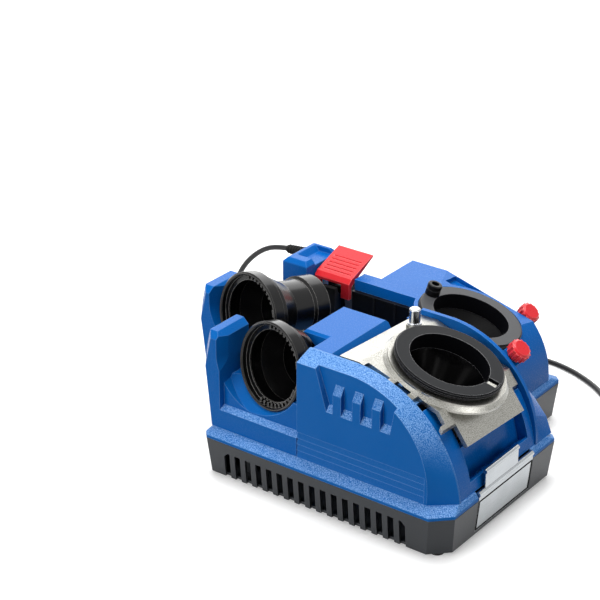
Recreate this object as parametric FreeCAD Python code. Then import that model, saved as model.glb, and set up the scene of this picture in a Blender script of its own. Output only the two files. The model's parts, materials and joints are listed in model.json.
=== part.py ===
import FreeCAD, Part
import os
from math import acos, atan2, ceil, cos, degrees, pi, radians, sin, sqrt, tan

V = FreeCAD.Vector

# Drill bit sharpener with two stations on one stepped base. Sizes are in millimetres.
# X runs along the machine, Y from the near station to the far one, Z is up. While the pieces are
# drawn, the origin is under the middle of the near station at the underside of the base. At the
# end everything moves so that the origin is the bottom centre of the machine without its cord.

# Fits
GAP = 0.4            # between covers that sit side by side
SEAT = 0.3           # between a loose piece and what carries it
RUN = 0.05           # radial running clearance of a shaft in its hole
OVER = 1.0           # how far a cut runs past the face that it opens

# Base tray
NEAR_LENGTH = 320.0
NEAR_DEPTH = 230.0
FAR_OVERHANG = 76.0  # how far the far station reaches out past the near one on the left
FAR_SETBACK = 65.0   # how far it stops short of the near one on the right
FAR_FRONT = -20.0
FAR_BACK = 238.0
NOSE_CUT = 20.0      # corner chamfer at the near right corner
CORNER_CUT = 6.0     # corner chamfer everywhere else
BASE_HEIGHT = 43.0
BASE_DRAFT = 4.0
BASE_WALL = 3.0
BASE_FLOOR = 3.0
VENT_COUNT = 17
VENT_PITCH = 14.6
VENT_WIDTH = 7.8
VENT_HEIGHT = 31.0
VENT_MIDDLE = -10.0
VENT_CUT = 5.0
FOOT_HEIGHT = 4.0
FOOT_RADIUS = 9.0
FOOT_TAPER = 1.5
FOOT_INSET = 21.0
POST_RADIUS = 5.5
SCREW_RADIUS = 2.0
SCREW_HEAD = 4.2
SCREW_HEAD_DEPTH = 2.4
SCREW_INSET_X = 46.0
SCREW_INSET_Y = 27.0

# Lower housing: flange, sloped strip and deck
FLANGE_RISE = 4.0
STRIP_RISE = 6.0
STRIP_RUN = 12.0     # along the front and the back
END_RUN = 4.0        # at the ends
SKIN = 3.0
WELL_OUT_LEFT = 38.0    # opening in the deck over the wheels, out from the shaft
WELL_OUT_RIGHT = 40.0
WELL_FRONT = -24.0
WELL_BACK = 172.0

# Near station covers
COVER_LEFT = -38.0
COVER_TOP = 176.0
ARC_RADIUS = 140.0
PANEL_RADIUS = 102.0
PANEL_INSET = 132.0  # from the right-hand end to the centre of the panel's arc
PANEL_TOP = 168.0
BEVEL_RUN = 23.0
COVER_RIM = 2.0
LOUVRE_LEFT = 1.0     # at the foot of the pocket
LOUVRE_RIGHT = 82.0
LOUVRE_BOTTOM = 121.0
LOUVRE_FLARE_LEFT = 17.0
LOUVRE_FLARE_RIGHT = 10.0
LOUVRE_DEPTH = 6.0
LOUVRE_SILL = 7.0
LOUVRE_BAR_TOP = 154.0
LOUVRE_BAR_SLOPE = 10.0
LOUVRE_BAR_FIRST = 14.5
LOUVRE_BAR_PITCH = 25.0
LOUVRE_BAR_WIDTH = 10.5
LOUVRE_BARS = 3
STEP_TOP = 84.0
STEP_PITCH = 7.5
STEP_DEPTH = 2.1
STEP_COUNT = 4
STEP_INSET = 34.0
BLOCK_LEFT = -70.0
BLOCK_RIGHT = -2.0
BLOCK_NOTCH_Y = -48.0
BLOCK_BACK = 26.0
BLOCK_BEVEL = 3.0
BLOCK_SLOPE_RUN = 9.0
BLOCK_SLOPE_DROP = 14.0
WALL_FRONT = 74.0    # centre wall between the stations
WALL_THICK = 5.0
WALL_LEFT = 2.0
WALL_TOP = 173.0
WALL_RADIUS = 118.0

# Chuck cradles
CRADLE_DEPTH = 53.0
CRADLE_RECESS = 8.0
SEAT_FLARE = 9.0         # countersink round the seat
LEDGE_Z = 76.0
LEDGE_RISE = 4.0
CRADLE_ARM_Z = 112.0
PILLAR_TOP = 168.0
PILLAR_SHOULDER = 146.0
PILLAR_CREST = 5.0
PILLAR_EDGE = 7.0
PILLAR_WIDTH = 12.0
NEAR_LEAN = 10.0
FAR_LEAN = 12.0
FAR_CRADLE_WIDTH = 104.0

# Drill chucks
NEAR_CHUCK_SIDE = 1.85   # from the ring to the side cover
NEAR_CHUCK_Y = -74.4
NEAR_CHUCK_Z = 135.9
FAR_CHUCK_INSET = 61.5   # from the left-hand end of the far station
FAR_CHUCK_Y = -5.3
FAR_CHUCK_Z = 145.9
CHUCK_YAW = 12.6
CHUCK_RISE = 9.5
CHUCK_RING_RADIUS = 50.0
CHUCK_RING_HALF = 8.0
CHUCK_RIM = 46.0         # bore of the ring in front of its web
CHUCK_MOUTH = 40.0       # bore of the web
CHUCK_WEB = 2.0
CHUCK_SPIGOT = 44.0
CHUCK_SPIGOT_TOP = -1.0
CHUCK_NECK = 33.0
CHUCK_TAIL = 36.0
CHUCK_LENGTH = 88.0
CHUCK_WAIST = 0.45       # share of the length at which the neck starts
CHUCK_SHOULDER = 0.75    # share of the length at which the tail starts
CHUCK_WALL = 3.0
CHUCK_BORE = 15.0
CHUCK_TEETH = 9          # in each of the two toothed arcs
CHUCK_PITCH = 8.0
CHUCK_ARC = 70.0         # from the side of the ring to the middle of an arc
CHUCK_TOOTH = 2.6
CHUCK_TOOTH_TIP = 41.5
CHUCK_LUG = 8.0          # width of the lug that ends each arc
JAW_COUNT = 3
JAW_TIP = 5.0
JAW_WIDTH = 6.0
JAW_LENGTH = 34.0

# Grinding ports
PORT_INSET = 77.0    # from the right-hand end of each station to its port
NEAR_PORT_Z = 153.0
FAR_PORT_Y = 147.4
FAR_PORT_Z = 127.6
NEAR_TILT = 17.5     # towards +X
FAR_TILT = 15.0
NEAR_ROLL = 3.4      # towards +Y
FAR_ROLL = 6.0
PORT_RING_RADIUS = 61.5
PORT_BORE = 45.0
PORT_SPIGOT = 56.0
COLLAR_RADIUS = 66.5
COLLAR_RISE = 6.0
COLLAR_FILLET = 4.0
PORT_RING_RISE = 15.0
PORT_RING_EDGE = 1.5
PORT_RING_FLANGE = 4.5   # thickness of the ring's overhanging edge
PORT_RING_UNDERCUT = 3.5
PLATE_THICK = 5.0
PLATE_LEVEL = -62.0  # left of this line the plate lies level
PLATE_SKEW = 1.2     # room at the centre wall for the plate's roll
PLATE_BEND = 38.0    # right of this line it bends down into the lip
LIP_RUN = 39.0
LIP_DROP = 26.0
LIP_SHOULDER = 54.0
LIP_FRONT = -54.0
LIP_BACK = 60.0
PLATE_NOTCH_LEFT = -18.0
PLATE_NOTCH_WIDTH = 20.0
PLATE_NOTCH_DEPTH = 20.0
PLATE_TAB = 8.0      # tabs that reach the side cover either side of the notch
PLATE_SLIT = 9.0     # slits along the side cover between the tabs
PLATE_SLIT_LEFT = 30.0
PLATE_SLIT_RIGHT = 40.0
PLATE_LEG_RADIUS = 6.0
PLATE_LEG_Y = 67.0
SHELF_REACH = 15.0   # ledge on the side cover under the plate's near edge
SHELF_LEFT = -56.0
SHELF_RIGHT = 14.0
CUP_FLANGE = 58.0
CUP_FOOT = 29.0
CUP_HOLE = 18.0
CUP_WALL = 2.5
CUP_ROUND = 8.0
NEAR_CUP_DEPTH = 45.0
FAR_CUP_DEPTH = 14.0
FAR_SEAT_WALL = 4.0
FAR_SEAT_DEPTH = 12.0
FAR_FACE_RISE = 14.0
KEY_ANGLE = 10.0
KEY_SLOT_WIDTH = 12.0
KEY_SLOT_DEPTH = 5.0
KEY_SLOT_OUT = 58.0
KEY_WIDTH = 6.0
PIN_INSET = 63.0     # from the near port to the stop pin
PIN_Y = 34.0
PIN_BOSS_RADIUS = 9.5
PIN_BOSS_RISE = 5.5
PIN_RADIUS = 6.4
PIN_SHOULDER = 8.0
PIN_RISE = 18.0
PIN_CHAMFER = 1.2

# Near end cover
TROUGH_FRONT = -54.6
TROUGH_BACK = 62.0
TROUGH_RUN = 32.0    # from the right-hand end inwards
TROUGH_LIP_Z = 66.0
TROUGH_FOOT_RUN = 20.0
TROUGH_TOP_Z = 94.0
CHEEK_RUN = 56.0
CHEEK_INSET = 1.5
BUTTRESS_OUT = 29.0  # how far the buttress stands out behind the centre wall
BUTTRESS_TOP = 116.0
BUTTRESS_FALL = 26.0

# Far station
FAR_ARC_RADIUS = 97.0
FAR_TOP = 154.0
FAR_DECK_BACK = 214.0
FAR_WING = -20.0     # where the deck widens towards the centre wall
FAR_DECK_FRONT = 128.0
FAR_DECK_LEFT = -102.0
FAR_STRIP_LEFT = -126.0
FAR_STRIP_BACK = 148.0
FAR_LIP = 13.0
PANEL_THICK = 5.0
PANEL_RIB_PITCH = 30.0
PANEL_RIB_WIDTH = 2.0
PANEL_RIB_DEPTH = 1.5
NICHE_LEFT = -64.0   # sunk corner between the port and the back edge of the deck
NICHE_RIGHT = -20.0
NICHE_FRONT = 40.0
NICHE_DEPTH = 6.0
FAR_BLOCK_LEFT = -214.0
FAR_BLOCK_RIGHT = -178.5
FAR_BLOCK_FRONT = 104.0
FAR_BLOCK_BACK = 165.0
FAR_BLOCK_SPLIT = 122.0
FAR_BLOCK_TOP = 168.0
FAR_BLOCK_ROUND = 5.0
FAR_POCKET_DEPTH = 7.0
FAR_POCKET_RIM = 7.0
GUIDE_ANGLE = 186.0  # where the post stands on the far ring
GUIDE_RADIUS = 8.5
GUIDE_BORE = 4.5
GUIDE_RISE = 14.0
GUIDE_SLOT = 3.0

# Latch
LATCH_LEFT = -177.0
LATCH_RIGHT = -127.0
LATCH_FRONT = 118.0
LATCH_FOOT_Z = 130.0
LATCH_KNEE_Z = 150.0
LATCH_TIP_Y = 167.0
LATCH_TIP_Z = 171.0
LATCH_THICK = 5.0
LATCH_GAP_LEFT = -169.0
LATCH_GAP_RIGHT = -139.0
LATCH_GAP_TOP = 147.0
LATCH_GROOVES = 5
LATCH_GROOVE_PITCH = 5.5
LATCH_GROOVE_WIDTH = 1.6
LATCH_GROOVE_DEPTH = 1.0
LATCH_PIN_Y = 133.0
LATCH_PIN_Z = 145.0
LATCH_PIN_RADIUS = 2.5
LATCH_EAR_RADIUS = 5.5
LATCH_EAR_HALF = 6.0
LUG_THICK = 6.0
TONGUE_FRONT = 112.0
TONGUE_WIDTH = 18.0
TONGUE_BOTTOM = 104.0
TONGUE_TOP = 143.0
BRACKET_BACK = 150.0

# Knobs
NEAR_KNOB_ANGLE = 49.6
FAR_KNOB_ANGLE = 48.4
NEAR_KNOB_Y = 92.5
FAR_KNOB_Y = 227.5
NEAR_KNOB_SEAT = 113.5   # from the centre of the arc that the knob stands on
FAR_KNOB_SEAT = 77.0
KNOB_RADIUS = 11.5
KNOB_RIB = 1.6
KNOB_RIBS = 14
KNOB_HEIGHT = 17.0
KNOB_NECK = 8.0
KNOB_NECK_RISE = 4.0
KNOB_BORE_DEPTH = 14.0
STUD_RADIUS = 3.0
STUD_ROOT = 10.0
PAD_HALF = 11.0
PAD_DEPTH = 45.0

# Dust drawer
DRAWER_FRONT_Y = -48.0
DRAWER_BACK_Y = 62.0
DRAWER_RUN = 98.0
DRAWER_WALL = 2.0
DRAWER_DEPTH = 19.0
DRAWER_FACE = 3.0
DRAWER_TOP = 52.6
TAB_FRONT = -36.0
TAB_BACK = 30.0
TAB_TOP = 75.0
TAB_THICK = 2.0
TAB_HEM = 2.8

# Motor and wheels
SHAFT_INSET = 37.0   # from the near port to the shaft
SHAFT_Z = 66.0
SHAFT_RADIUS = 5.0
MOTOR_FRONT = 56.0
MOTOR_BACK = 106.0
MOTOR_RADIUS = 33.0
MOTOR_WALL = 2.0
BELL_DEPTH = 9.0
BELL_PLATE = 3.0
BELL_WINDOWS = 6
BEARING_RADIUS = 11.0
BEARING_WIDTH = 6.0
ARMATURE_RADIUS = 24.0
ARMATURE_SLOTS = 10
ARMATURE_SLOT = 3.0
ARMATURE_LENGTH = 18.0
FAN_RADIUS = 26.0
FAN_HUB = 9.0
FAN_BLADES = 8
FAN_BLADE = 1.6
FAN_WIDTH = 5.0
BRUSH_SIZE = 6.0
BRUSH_LENGTH = 12.0
NEAR_WHEEL_Y = -6.0
FAR_WHEEL_Y = 140.0
NEAR_WHEEL_RADIUS = 38.0
FAR_WHEEL_RADIUS = 30.0
WHEEL_WIDTH = 14.0
WHEEL_RECESS = 2.5
WHEEL_HUB = 16.0
NUT_RADIUS = 8.0
NUT_WIDTH = 6.0
SADDLE_HALF = 30.0
SADDLE_FRONT = 66.0
SADDLE_BACK = 96.0

# Rocker switch on the back
SWITCH_X = -66.0
SWITCH_Z = 96.0
SWITCH_WIDTH = 22.0
SWITCH_HEIGHT = 30.0
SWITCH_RIM = 3.0
SWITCH_FLANGE = 2.0
SWITCH_DEPTH = 16.0
ROCKER_TILT = 9.0
ROCKER_AXLE = 1.5

# Mains cord. The route's points are chosen by hand and lie where the cord hangs and rests.
CORD_RADIUS = 3.2
CORD_BEND = 0.45     # share of each straight run that a bend takes
GLAND_Y = 152.0
GLAND_Z = 154.5
GLAND_LENGTH = 28.0
GLAND_RADIUS = 6.5
GLAND_TIP = 4.4
GLAND_FLANGE = 8.2
GLAND_FLANGE_THICK = 3.0
CORD_ROUTE = [
    (-262.0, 152.6, 151.5), (-284.0, 154.0, 140.5), (-304.0, 155.5, 123.0), (-321.0, 157.5, 101.0),
    (-332.0, 161.0, 76.0), (-336.0, 168.0, 50.0), (-333.0, 180.0, 27.0), (-324.0, 201.0, 10.0),
    (-308.0, 227.0, 1.8), (-282.0, 251.0, -0.8), (-246.0, 268.0, -0.8), (-203.0, 280.0, -0.8),
    (-156.0, 292.0, -0.8), (-109.0, 306.0, -0.8), (-64.0, 323.0, -0.8), (-22.0, 341.0, -0.8),
    (16.0, 349.5, -0.8), (52.0, 343.5, -0.8), (84.0, 330.0, -0.8), (113.0, 312.0, -0.8),
    (136.0, 283.0, -0.8),
]
COIL_X = 202.0
COIL_Y = 263.0
COIL_OUT = 43.0
COIL_PITCH = 8.0
COIL_TURNS = 1.875   # in each layer
COIL_RISE = 7.6      # from one layer to the next
COIL_CLIMB = 0.5     # turns in which the cord climbs to the next layer
COIL_START = 225.0   # side on which the cord joins the coil
COIL_LEAD = 8.0      # straight ends of the wound cord
COIL_TAIL = 28.0
TIE_WIDTH = 9.0
TIE_THICK = 1.6
PLUG_LENGTH = 34.0
PLUG_WIDTH = 26.0
PLUG_HEIGHT = 20.0
PLUG_NOSE = 16.0
PLUG_NOSE_RADIUS = 5.4
PLUG_PIN_LENGTH = 17.0
PLUG_PIN_HEIGHT = 6.4
PLUG_PIN_THICK = 1.6
PLUG_PIN_SPREAD = 12.7

# Places that follow from the sizes
NEAR_LEFT = -NEAR_LENGTH / 2
NEAR_RIGHT = NEAR_LENGTH / 2
NEAR_FRONT = -NEAR_DEPTH / 2
NEAR_BACK = NEAR_DEPTH / 2
FAR_LEFT = NEAR_LEFT - FAR_OVERHANG
FAR_RIGHT = NEAR_RIGHT - FAR_SETBACK
DECK_Z = BASE_HEIGHT + FLANGE_RISE + STRIP_RISE
DECK_UNDER = DECK_Z - SKIN
COVER_FACE = NEAR_FRONT + STRIP_RUN
COVER_BEVEL = COVER_FACE + BEVEL_RUN
COVER_BACK = COVER_BEVEL + COVER_RIM
ARC_Z = COVER_TOP - ARC_RADIUS
ARC_X = NEAR_RIGHT - END_RUN - sqrt(ARC_RADIUS ** 2 - (DECK_Z - ARC_Z) ** 2)
WALL_BACK = WALL_FRONT + WALL_THICK
WALL_ARC_Z = WALL_TOP - WALL_RADIUS
WALL_ARC_X = NEAR_RIGHT - END_RUN - sqrt(WALL_RADIUS ** 2 - (DECK_Z - WALL_ARC_Z) ** 2)
FAR_ARC_Z = FAR_TOP - FAR_ARC_RADIUS
FAR_ARC_X = FAR_RIGHT - END_RUN - sqrt(FAR_ARC_RADIUS ** 2 - (DECK_Z - FAR_ARC_Z) ** 2)
FAR_PANEL_FRONT = FAR_DECK_FRONT - PANEL_THICK - GAP
FLOOR_Z = -FOOT_HEIGHT
PANEL_X = NEAR_RIGHT - PANEL_INSET
STEP_RIGHT = NEAR_RIGHT - STEP_INSET
TROUGH_LEFT = NEAR_RIGHT - TROUGH_RUN
TROUGH_FOOT_X = NEAR_RIGHT - TROUGH_FOOT_RUN
CHEEK_LEFT = NEAR_RIGHT - CHEEK_RUN
DRAWER_LEFT = NEAR_RIGHT - DRAWER_RUN
NEAR_CHUCK = V(COVER_LEFT - CHUCK_RING_RADIUS - NEAR_CHUCK_SIDE, NEAR_CHUCK_Y, NEAR_CHUCK_Z)
FAR_CHUCK = V(FAR_LEFT + FAR_CHUCK_INSET, FAR_CHUCK_Y, FAR_CHUCK_Z)
FAR_CRADLE_LEFT = FAR_LEFT + END_RUN
NEAR_PORT = V(NEAR_RIGHT - PORT_INSET, 0, NEAR_PORT_Z)
FAR_PORT = V(FAR_RIGHT - PORT_INSET, FAR_PORT_Y, FAR_PORT_Z)
PIN_X = NEAR_PORT.x - PIN_INSET
SHAFT_X = NEAR_PORT.x - SHAFT_INSET
WELL_LEFT = SHAFT_X - WELL_OUT_LEFT
WELL_RIGHT = SHAFT_X + WELL_OUT_RIGHT
PIN_FOOT = NEAR_PORT.z - PLATE_LEVEL * sin(radians(NEAR_TILT)) + PIN_BOSS_RISE


# Plain helpers

def span(x, y, z):
    """Box between two limits on each axis."""
    return Part.makeBox(x[1] - x[0], y[1] - y[0], z[1] - z[0], V(x[0], y[0], z[0]))


def polygon(points):
    """Closed wire through points."""
    return Part.makePolygon(points + [points[0]])


def prism(points, along):
    """Solid from a closed polygon pushed along a vector."""
    return Part.Face(polygon(points)).extrude(along)


def prism_xz(points, y0, y1):
    """Outline in X and Z pushed from y0 to y1."""
    return prism([V(x, y0, z) for x, z in points], V(0, y1 - y0, 0))


def prism_yz(points, x0, x1):
    """Outline in Y and Z pushed from x0 to x1."""
    return prism([V(x0, y, z) for y, z in points], V(x1 - x0, 0, 0))


def prism_xy(points, z0, z1):
    """Outline in X and Y pushed from z0 to z1."""
    return prism([V(x, y, z0) for x, y in points], V(0, 0, z1 - z0))


def turned(profile):
    """Solid of revolution about Z from (radius, height) points."""
    outline = Part.Face(polygon([V(r, 0, z) for r, z in profile]))
    return outline.revolve(V(0, 0, 0), V(0, 0, 1), 360)


def rod(radius, start, end):
    """Round bar between two points."""
    return Part.makeCylinder(radius, (end - start).Length, start, end - start)


def fused(first, *others):
    """Union without leftover seams."""
    return first.fuse(list(others)).removeSplitter()


def cut(first, *others):
    """First shape less the others."""
    return first.cut(list(others)).removeSplitter()


def around(shape, count, centre=V(0, 0, 0), axis=V(0, 0, 1)):
    """Copies of a shape at equal angles about an axis."""
    copies = []
    for index in range(count):
        copy = shape.copy()
        copy.rotate(centre, axis, 360.0 * index / count)
        copies.append(copy)
    return copies


def placed(shape, frame):
    """Copy of a shape moved from its own frame into the machine."""
    copy = shape.copy()
    copy.Placement = frame.multiply(copy.Placement)
    return copy


def tilted_frame(origin, normal, hint, order):
    """Frame whose Z axis is the normal and whose other axes keep close to a hint."""
    return FreeCAD.Placement(origin, FreeCAD.Rotation(hint[0], hint[1], normal, order))


def port_frame(origin, tilt, roll):
    """Frame of a grinding port: X down the slope, Z out of the port."""
    lean = radians(tilt)
    side = radians(roll)
    normal = V(sin(lean) * cos(side), sin(side), cos(lean) * cos(side))
    return tilted_frame(origin, normal, (V(1, 0, 0), V(0, 1, 0)), "ZXY")


def chuck_frame(origin):
    """Frame of a drill chuck: Z out of its mouth, Y close to upright."""
    yaw = radians(CHUCK_YAW)
    rise = radians(CHUCK_RISE)
    mouth = V(-sin(yaw) * cos(rise), -cos(yaw) * cos(rise), sin(rise))
    return tilted_frame(origin, mouth, (V(1, 0, 0), V(0, 0, 1)), "ZYX")


def knob_frame(arc_x, arc_z, seat, angle, y):
    """Frame of a knob that stands square to an arc: Z out of the arc, Y along the machine's Y."""
    out = V(cos(radians(angle)), 0, sin(radians(angle)))
    foot = V(arc_x, y, arc_z) + out * seat
    return tilted_frame(foot, out, (V(1, 0, 0), V(0, 1, 0)), "ZYX")


NEAR_PORT_FRAME = port_frame(NEAR_PORT, NEAR_TILT, NEAR_ROLL)
FAR_PORT_FRAME = port_frame(FAR_PORT, FAR_TILT, FAR_ROLL)
NEAR_CHUCK_FRAME = chuck_frame(NEAR_CHUCK)
FAR_CHUCK_FRAME = chuck_frame(FAR_CHUCK)
NEAR_KNOB_FRAME = knob_frame(WALL_ARC_X, WALL_ARC_Z, NEAR_KNOB_SEAT, NEAR_KNOB_ANGLE, NEAR_KNOB_Y)
FAR_KNOB_FRAME = knob_frame(FAR_ARC_X, FAR_ARC_Z, FAR_KNOB_SEAT, FAR_KNOB_ANGLE, FAR_KNOB_Y)


# Base

def chamfered(corners):
    """Points of an axis-aligned outline whose corners are (x, y, chamfer)."""
    points = []
    for index, (x, y, size) in enumerate(corners):
        here = V(x, y, 0)
        if size == 0:
            points.append(here)
            continue
        for other in (corners[index - 1], corners[(index + 1) % len(corners)]):
            along = V(other[0] - x, other[1] - y, 0).normalize()
            points.append(here + along * size)
    return points


def plan(side, end, z):
    """Stepped outline of the base, drawn in from its sides and its ends, at a height."""
    left, right = NEAR_LEFT + end, NEAR_RIGHT - end
    front, back = NEAR_FRONT + side, NEAR_BACK - side
    far_left, far_right = FAR_LEFT + end, FAR_RIGHT - end
    far_front, far_back = FAR_FRONT + end, FAR_BACK - side
    corners = [
        (left, front, CORNER_CUT), (right, front, NOSE_CUT), (right, back, CORNER_CUT),
        (far_right, back, 0), (far_right, far_back, CORNER_CUT), (far_left, far_back, CORNER_CUT),
        (far_left, far_front, CORNER_CUT), (left, far_front, 0),
    ]
    return polygon([point + V(0, 0, z) for point in chamfered(corners)])


def ruled(wires):
    """Solid through wires with straight rulings."""
    return Part.makeLoft(wires, True, True)


def corner_spots(inset_x, inset_y):
    """Six places near the corners of the base."""
    return [
        (NEAR_LEFT + inset_x, NEAR_FRONT + inset_y), (NEAR_RIGHT - inset_x, NEAR_FRONT + inset_y),
        (NEAR_RIGHT - inset_x, NEAR_BACK - inset_y), (FAR_RIGHT - inset_x, FAR_BACK - inset_y),
        (FAR_LEFT + inset_x, FAR_BACK - inset_y), (FAR_LEFT + inset_x, FAR_FRONT + inset_y),
    ]


SCREW_SPOTS = corner_spots(SCREW_INSET_X, SCREW_INSET_Y)
DRAWER_OPENING_Y = (DRAWER_FRONT_Y - 2 * GAP, DRAWER_BACK_Y + 2 * GAP)


def vent_outline(index):
    """Slot outline in X and Z. The outermost slots have their outer top corner cut off."""
    middle = VENT_MIDDLE + (index - (VENT_COUNT - 1) / 2) * VENT_PITCH
    left, right = middle - VENT_WIDTH / 2, middle + VENT_WIDTH / 2
    left_cut = VENT_CUT if index == 0 else 0
    right_cut = VENT_CUT if index == VENT_COUNT - 1 else 0
    points = [(left, -OVER), (right, -OVER), (right, VENT_HEIGHT - right_cut)]
    if right_cut:
        points.append((right - right_cut, VENT_HEIGHT))
    points.append((left + left_cut, VENT_HEIGHT))
    if left_cut:
        points.append((left, VENT_HEIGHT - left_cut))
    return points


def make_base_tray():
    """Drafted tray with vents, screw posts and the drawer opening."""
    outer = ruled([plan(BASE_DRAFT, BASE_DRAFT, 0), plan(0, 0, BASE_HEIGHT)])
    thick = BASE_DRAFT + BASE_WALL
    lean = BASE_DRAFT * BASE_FLOOR / BASE_HEIGHT
    inner = ruled([
        plan(thick - lean, thick - lean, BASE_FLOOR),
        plan(BASE_WALL, BASE_WALL, BASE_HEIGHT),
    ])
    tray = outer.cut(inner)
    vents = []
    for index in range(VENT_COUNT):
        vents.append(prism_xz(vent_outline(index), NEAR_FRONT - OVER, NEAR_FRONT + thick))
    doorway = span((NEAR_RIGHT - 2 * thick, NEAR_RIGHT + OVER), DRAWER_OPENING_Y,
                   (BASE_FLOOR, BASE_HEIGHT + OVER))
    tray = tray.cut(vents + [doorway])
    posts = [rod(POST_RADIUS, V(x, y, 0), V(x, y, DECK_UNDER)) for x, y in SCREW_SPOTS]
    tray = tray.fuse(posts)
    holes = []
    for x, y in SCREW_SPOTS:
        holes.append(rod(SCREW_RADIUS + RUN, V(x, y, -OVER), V(x, y, DECK_UNDER + OVER)))
        holes.append(rod(SCREW_HEAD + RUN, V(x, y, -OVER), V(x, y, SCREW_HEAD_DEPTH)))
    return cut(tray, *holes)


def make_base_feet():
    """Rubber feet under the corners."""
    foot = turned([(0, FLOOR_Z), (FOOT_RADIUS - FOOT_TAPER, FLOOR_Z), (FOOT_RADIUS, 0), (0, 0)])
    feet = []
    for x, y in corner_spots(FOOT_INSET, FOOT_INSET):
        feet.append(placed(foot, FreeCAD.Placement(V(x, y, 0), FreeCAD.Rotation())))
    return Part.makeCompound(feet)


def make_housing_screws():
    """Screws that hold the housing to the base from below."""
    screw = turned([
        (0, 0), (SCREW_HEAD, 0), (SCREW_HEAD, SCREW_HEAD_DEPTH), (SCREW_RADIUS, SCREW_HEAD_DEPTH),
        (SCREW_RADIUS, DECK_UNDER), (0, DECK_UNDER),
    ])
    screws = []
    for x, y in SCREW_SPOTS:
        screws.append(placed(screw, FreeCAD.Placement(V(x, y, 0), FreeCAD.Rotation())))
    return Part.makeCompound(screws)


def make_lower_housing():
    """Flange, sloped strip and deck plate in one moulding."""
    flange_z = BASE_HEIGHT + FLANGE_RISE
    outer = ruled([plan(0, 0, BASE_HEIGHT), plan(0, 0, flange_z), plan(STRIP_RUN, END_RUN, DECK_Z)])
    inner = ruled([
        plan(SKIN, SKIN, BASE_HEIGHT - OVER), plan(SKIN, SKIN, flange_z - SKIN / 2),
        plan(STRIP_RUN + SKIN, END_RUN + SKIN, DECK_UNDER),
    ])
    well = span((WELL_LEFT, WELL_RIGHT), (WELL_FRONT, WELL_BACK), (BASE_HEIGHT, DECK_Z + OVER))
    doorway = span((NEAR_RIGHT - END_RUN - 2 * SKIN, NEAR_RIGHT + OVER), DRAWER_OPENING_Y,
                   (BASE_HEIGHT - OVER, DECK_Z + OVER))
    return cut(outer.cut(inner), well, doorway)


# Near station covers

def arch(left, centre_x, centre_z, radius, foot, y):
    """Outline in X and Z with a flat top that rolls down to the right in one arc."""
    top = centre_z + radius
    end_x = centre_x + sqrt(radius ** 2 - (foot - centre_z) ** 2)
    middle = radians((90 + degrees(atan2(foot - centre_z, end_x - centre_x))) / 2)
    a, b, c, d = V(left, y, foot), V(left, y, top), V(centre_x, y, top), V(end_x, y, foot)
    m = V(centre_x + radius * cos(middle), y, centre_z + radius * sin(middle))
    edges = [Part.LineSegment(a, b), Part.LineSegment(b, c), Part.Arc(c, m, d), Part.LineSegment(d, a)]
    return Part.Wire([edge.toShape() for edge in edges])


def near_arch(inset, foot, y):
    """The main arch of the near station, drawn in by an inset."""
    return arch(COVER_LEFT + inset, ARC_X, ARC_Z, ARC_RADIUS - inset, foot, y)


def panel_arch(inset, foot, y):
    """The smaller arch that bounds the flat panel of the side cover."""
    panel_z = PANEL_TOP - PANEL_RADIUS
    return arch(COVER_LEFT + inset, PANEL_X, panel_z, PANEL_RADIUS - inset, foot, y)


def louvre_outline(foot, y):
    """Outline of the pocket, wider towards its open top."""
    high = COVER_TOP + OVER
    return polygon([
        V(LOUVRE_LEFT, y, foot), V(LOUVRE_RIGHT, y, foot), V(LOUVRE_RIGHT + LOUVRE_FLARE_RIGHT, y, high),
        V(LOUVRE_LEFT - LOUVRE_FLARE_LEFT, y, high),
    ])


def louvre_pocket():
    """Pocket that opens upwards into the bevel and ends below in a sloping sill."""
    floor = COVER_FACE + LOUVRE_DEPTH
    sill = LOUVRE_BOTTOM + LOUVRE_SILL
    return ruled([louvre_outline(LOUVRE_BOTTOM, COVER_FACE), louvre_outline(sill, floor)])


def louvre_bars():
    """Upright bars that stand flush in the pocket, with sloping tops."""
    floor = COVER_FACE + LOUVRE_DEPTH
    half = LOUVRE_BAR_WIDTH / 2
    bars = []
    for index in range(LOUVRE_BARS):
        middle = LOUVRE_BAR_FIRST + index * LOUVRE_BAR_PITCH
        bars.append(prism_yz([
            (COVER_FACE, LOUVRE_BOTTOM), (COVER_FACE, LOUVRE_BAR_TOP - LOUVRE_BAR_SLOPE),
            (floor, LOUVRE_BAR_TOP), (floor, LOUVRE_BOTTOM),
        ], middle - half, middle + half))
    return bars


def step_cuts():
    """Overlapping boards low on the side: each leans in towards its top."""
    wedges = []
    for index in range(STEP_COUNT):
        top = STEP_TOP - index * STEP_PITCH
        wedges.append(prism_yz([
            (COVER_FACE - OVER, top), (COVER_FACE + STEP_DEPTH, top),
            (COVER_FACE, top - STEP_PITCH), (COVER_FACE - OVER, top - STEP_PITCH),
        ], COVER_LEFT - OVER, STEP_RIGHT))
    return wedges


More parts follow.
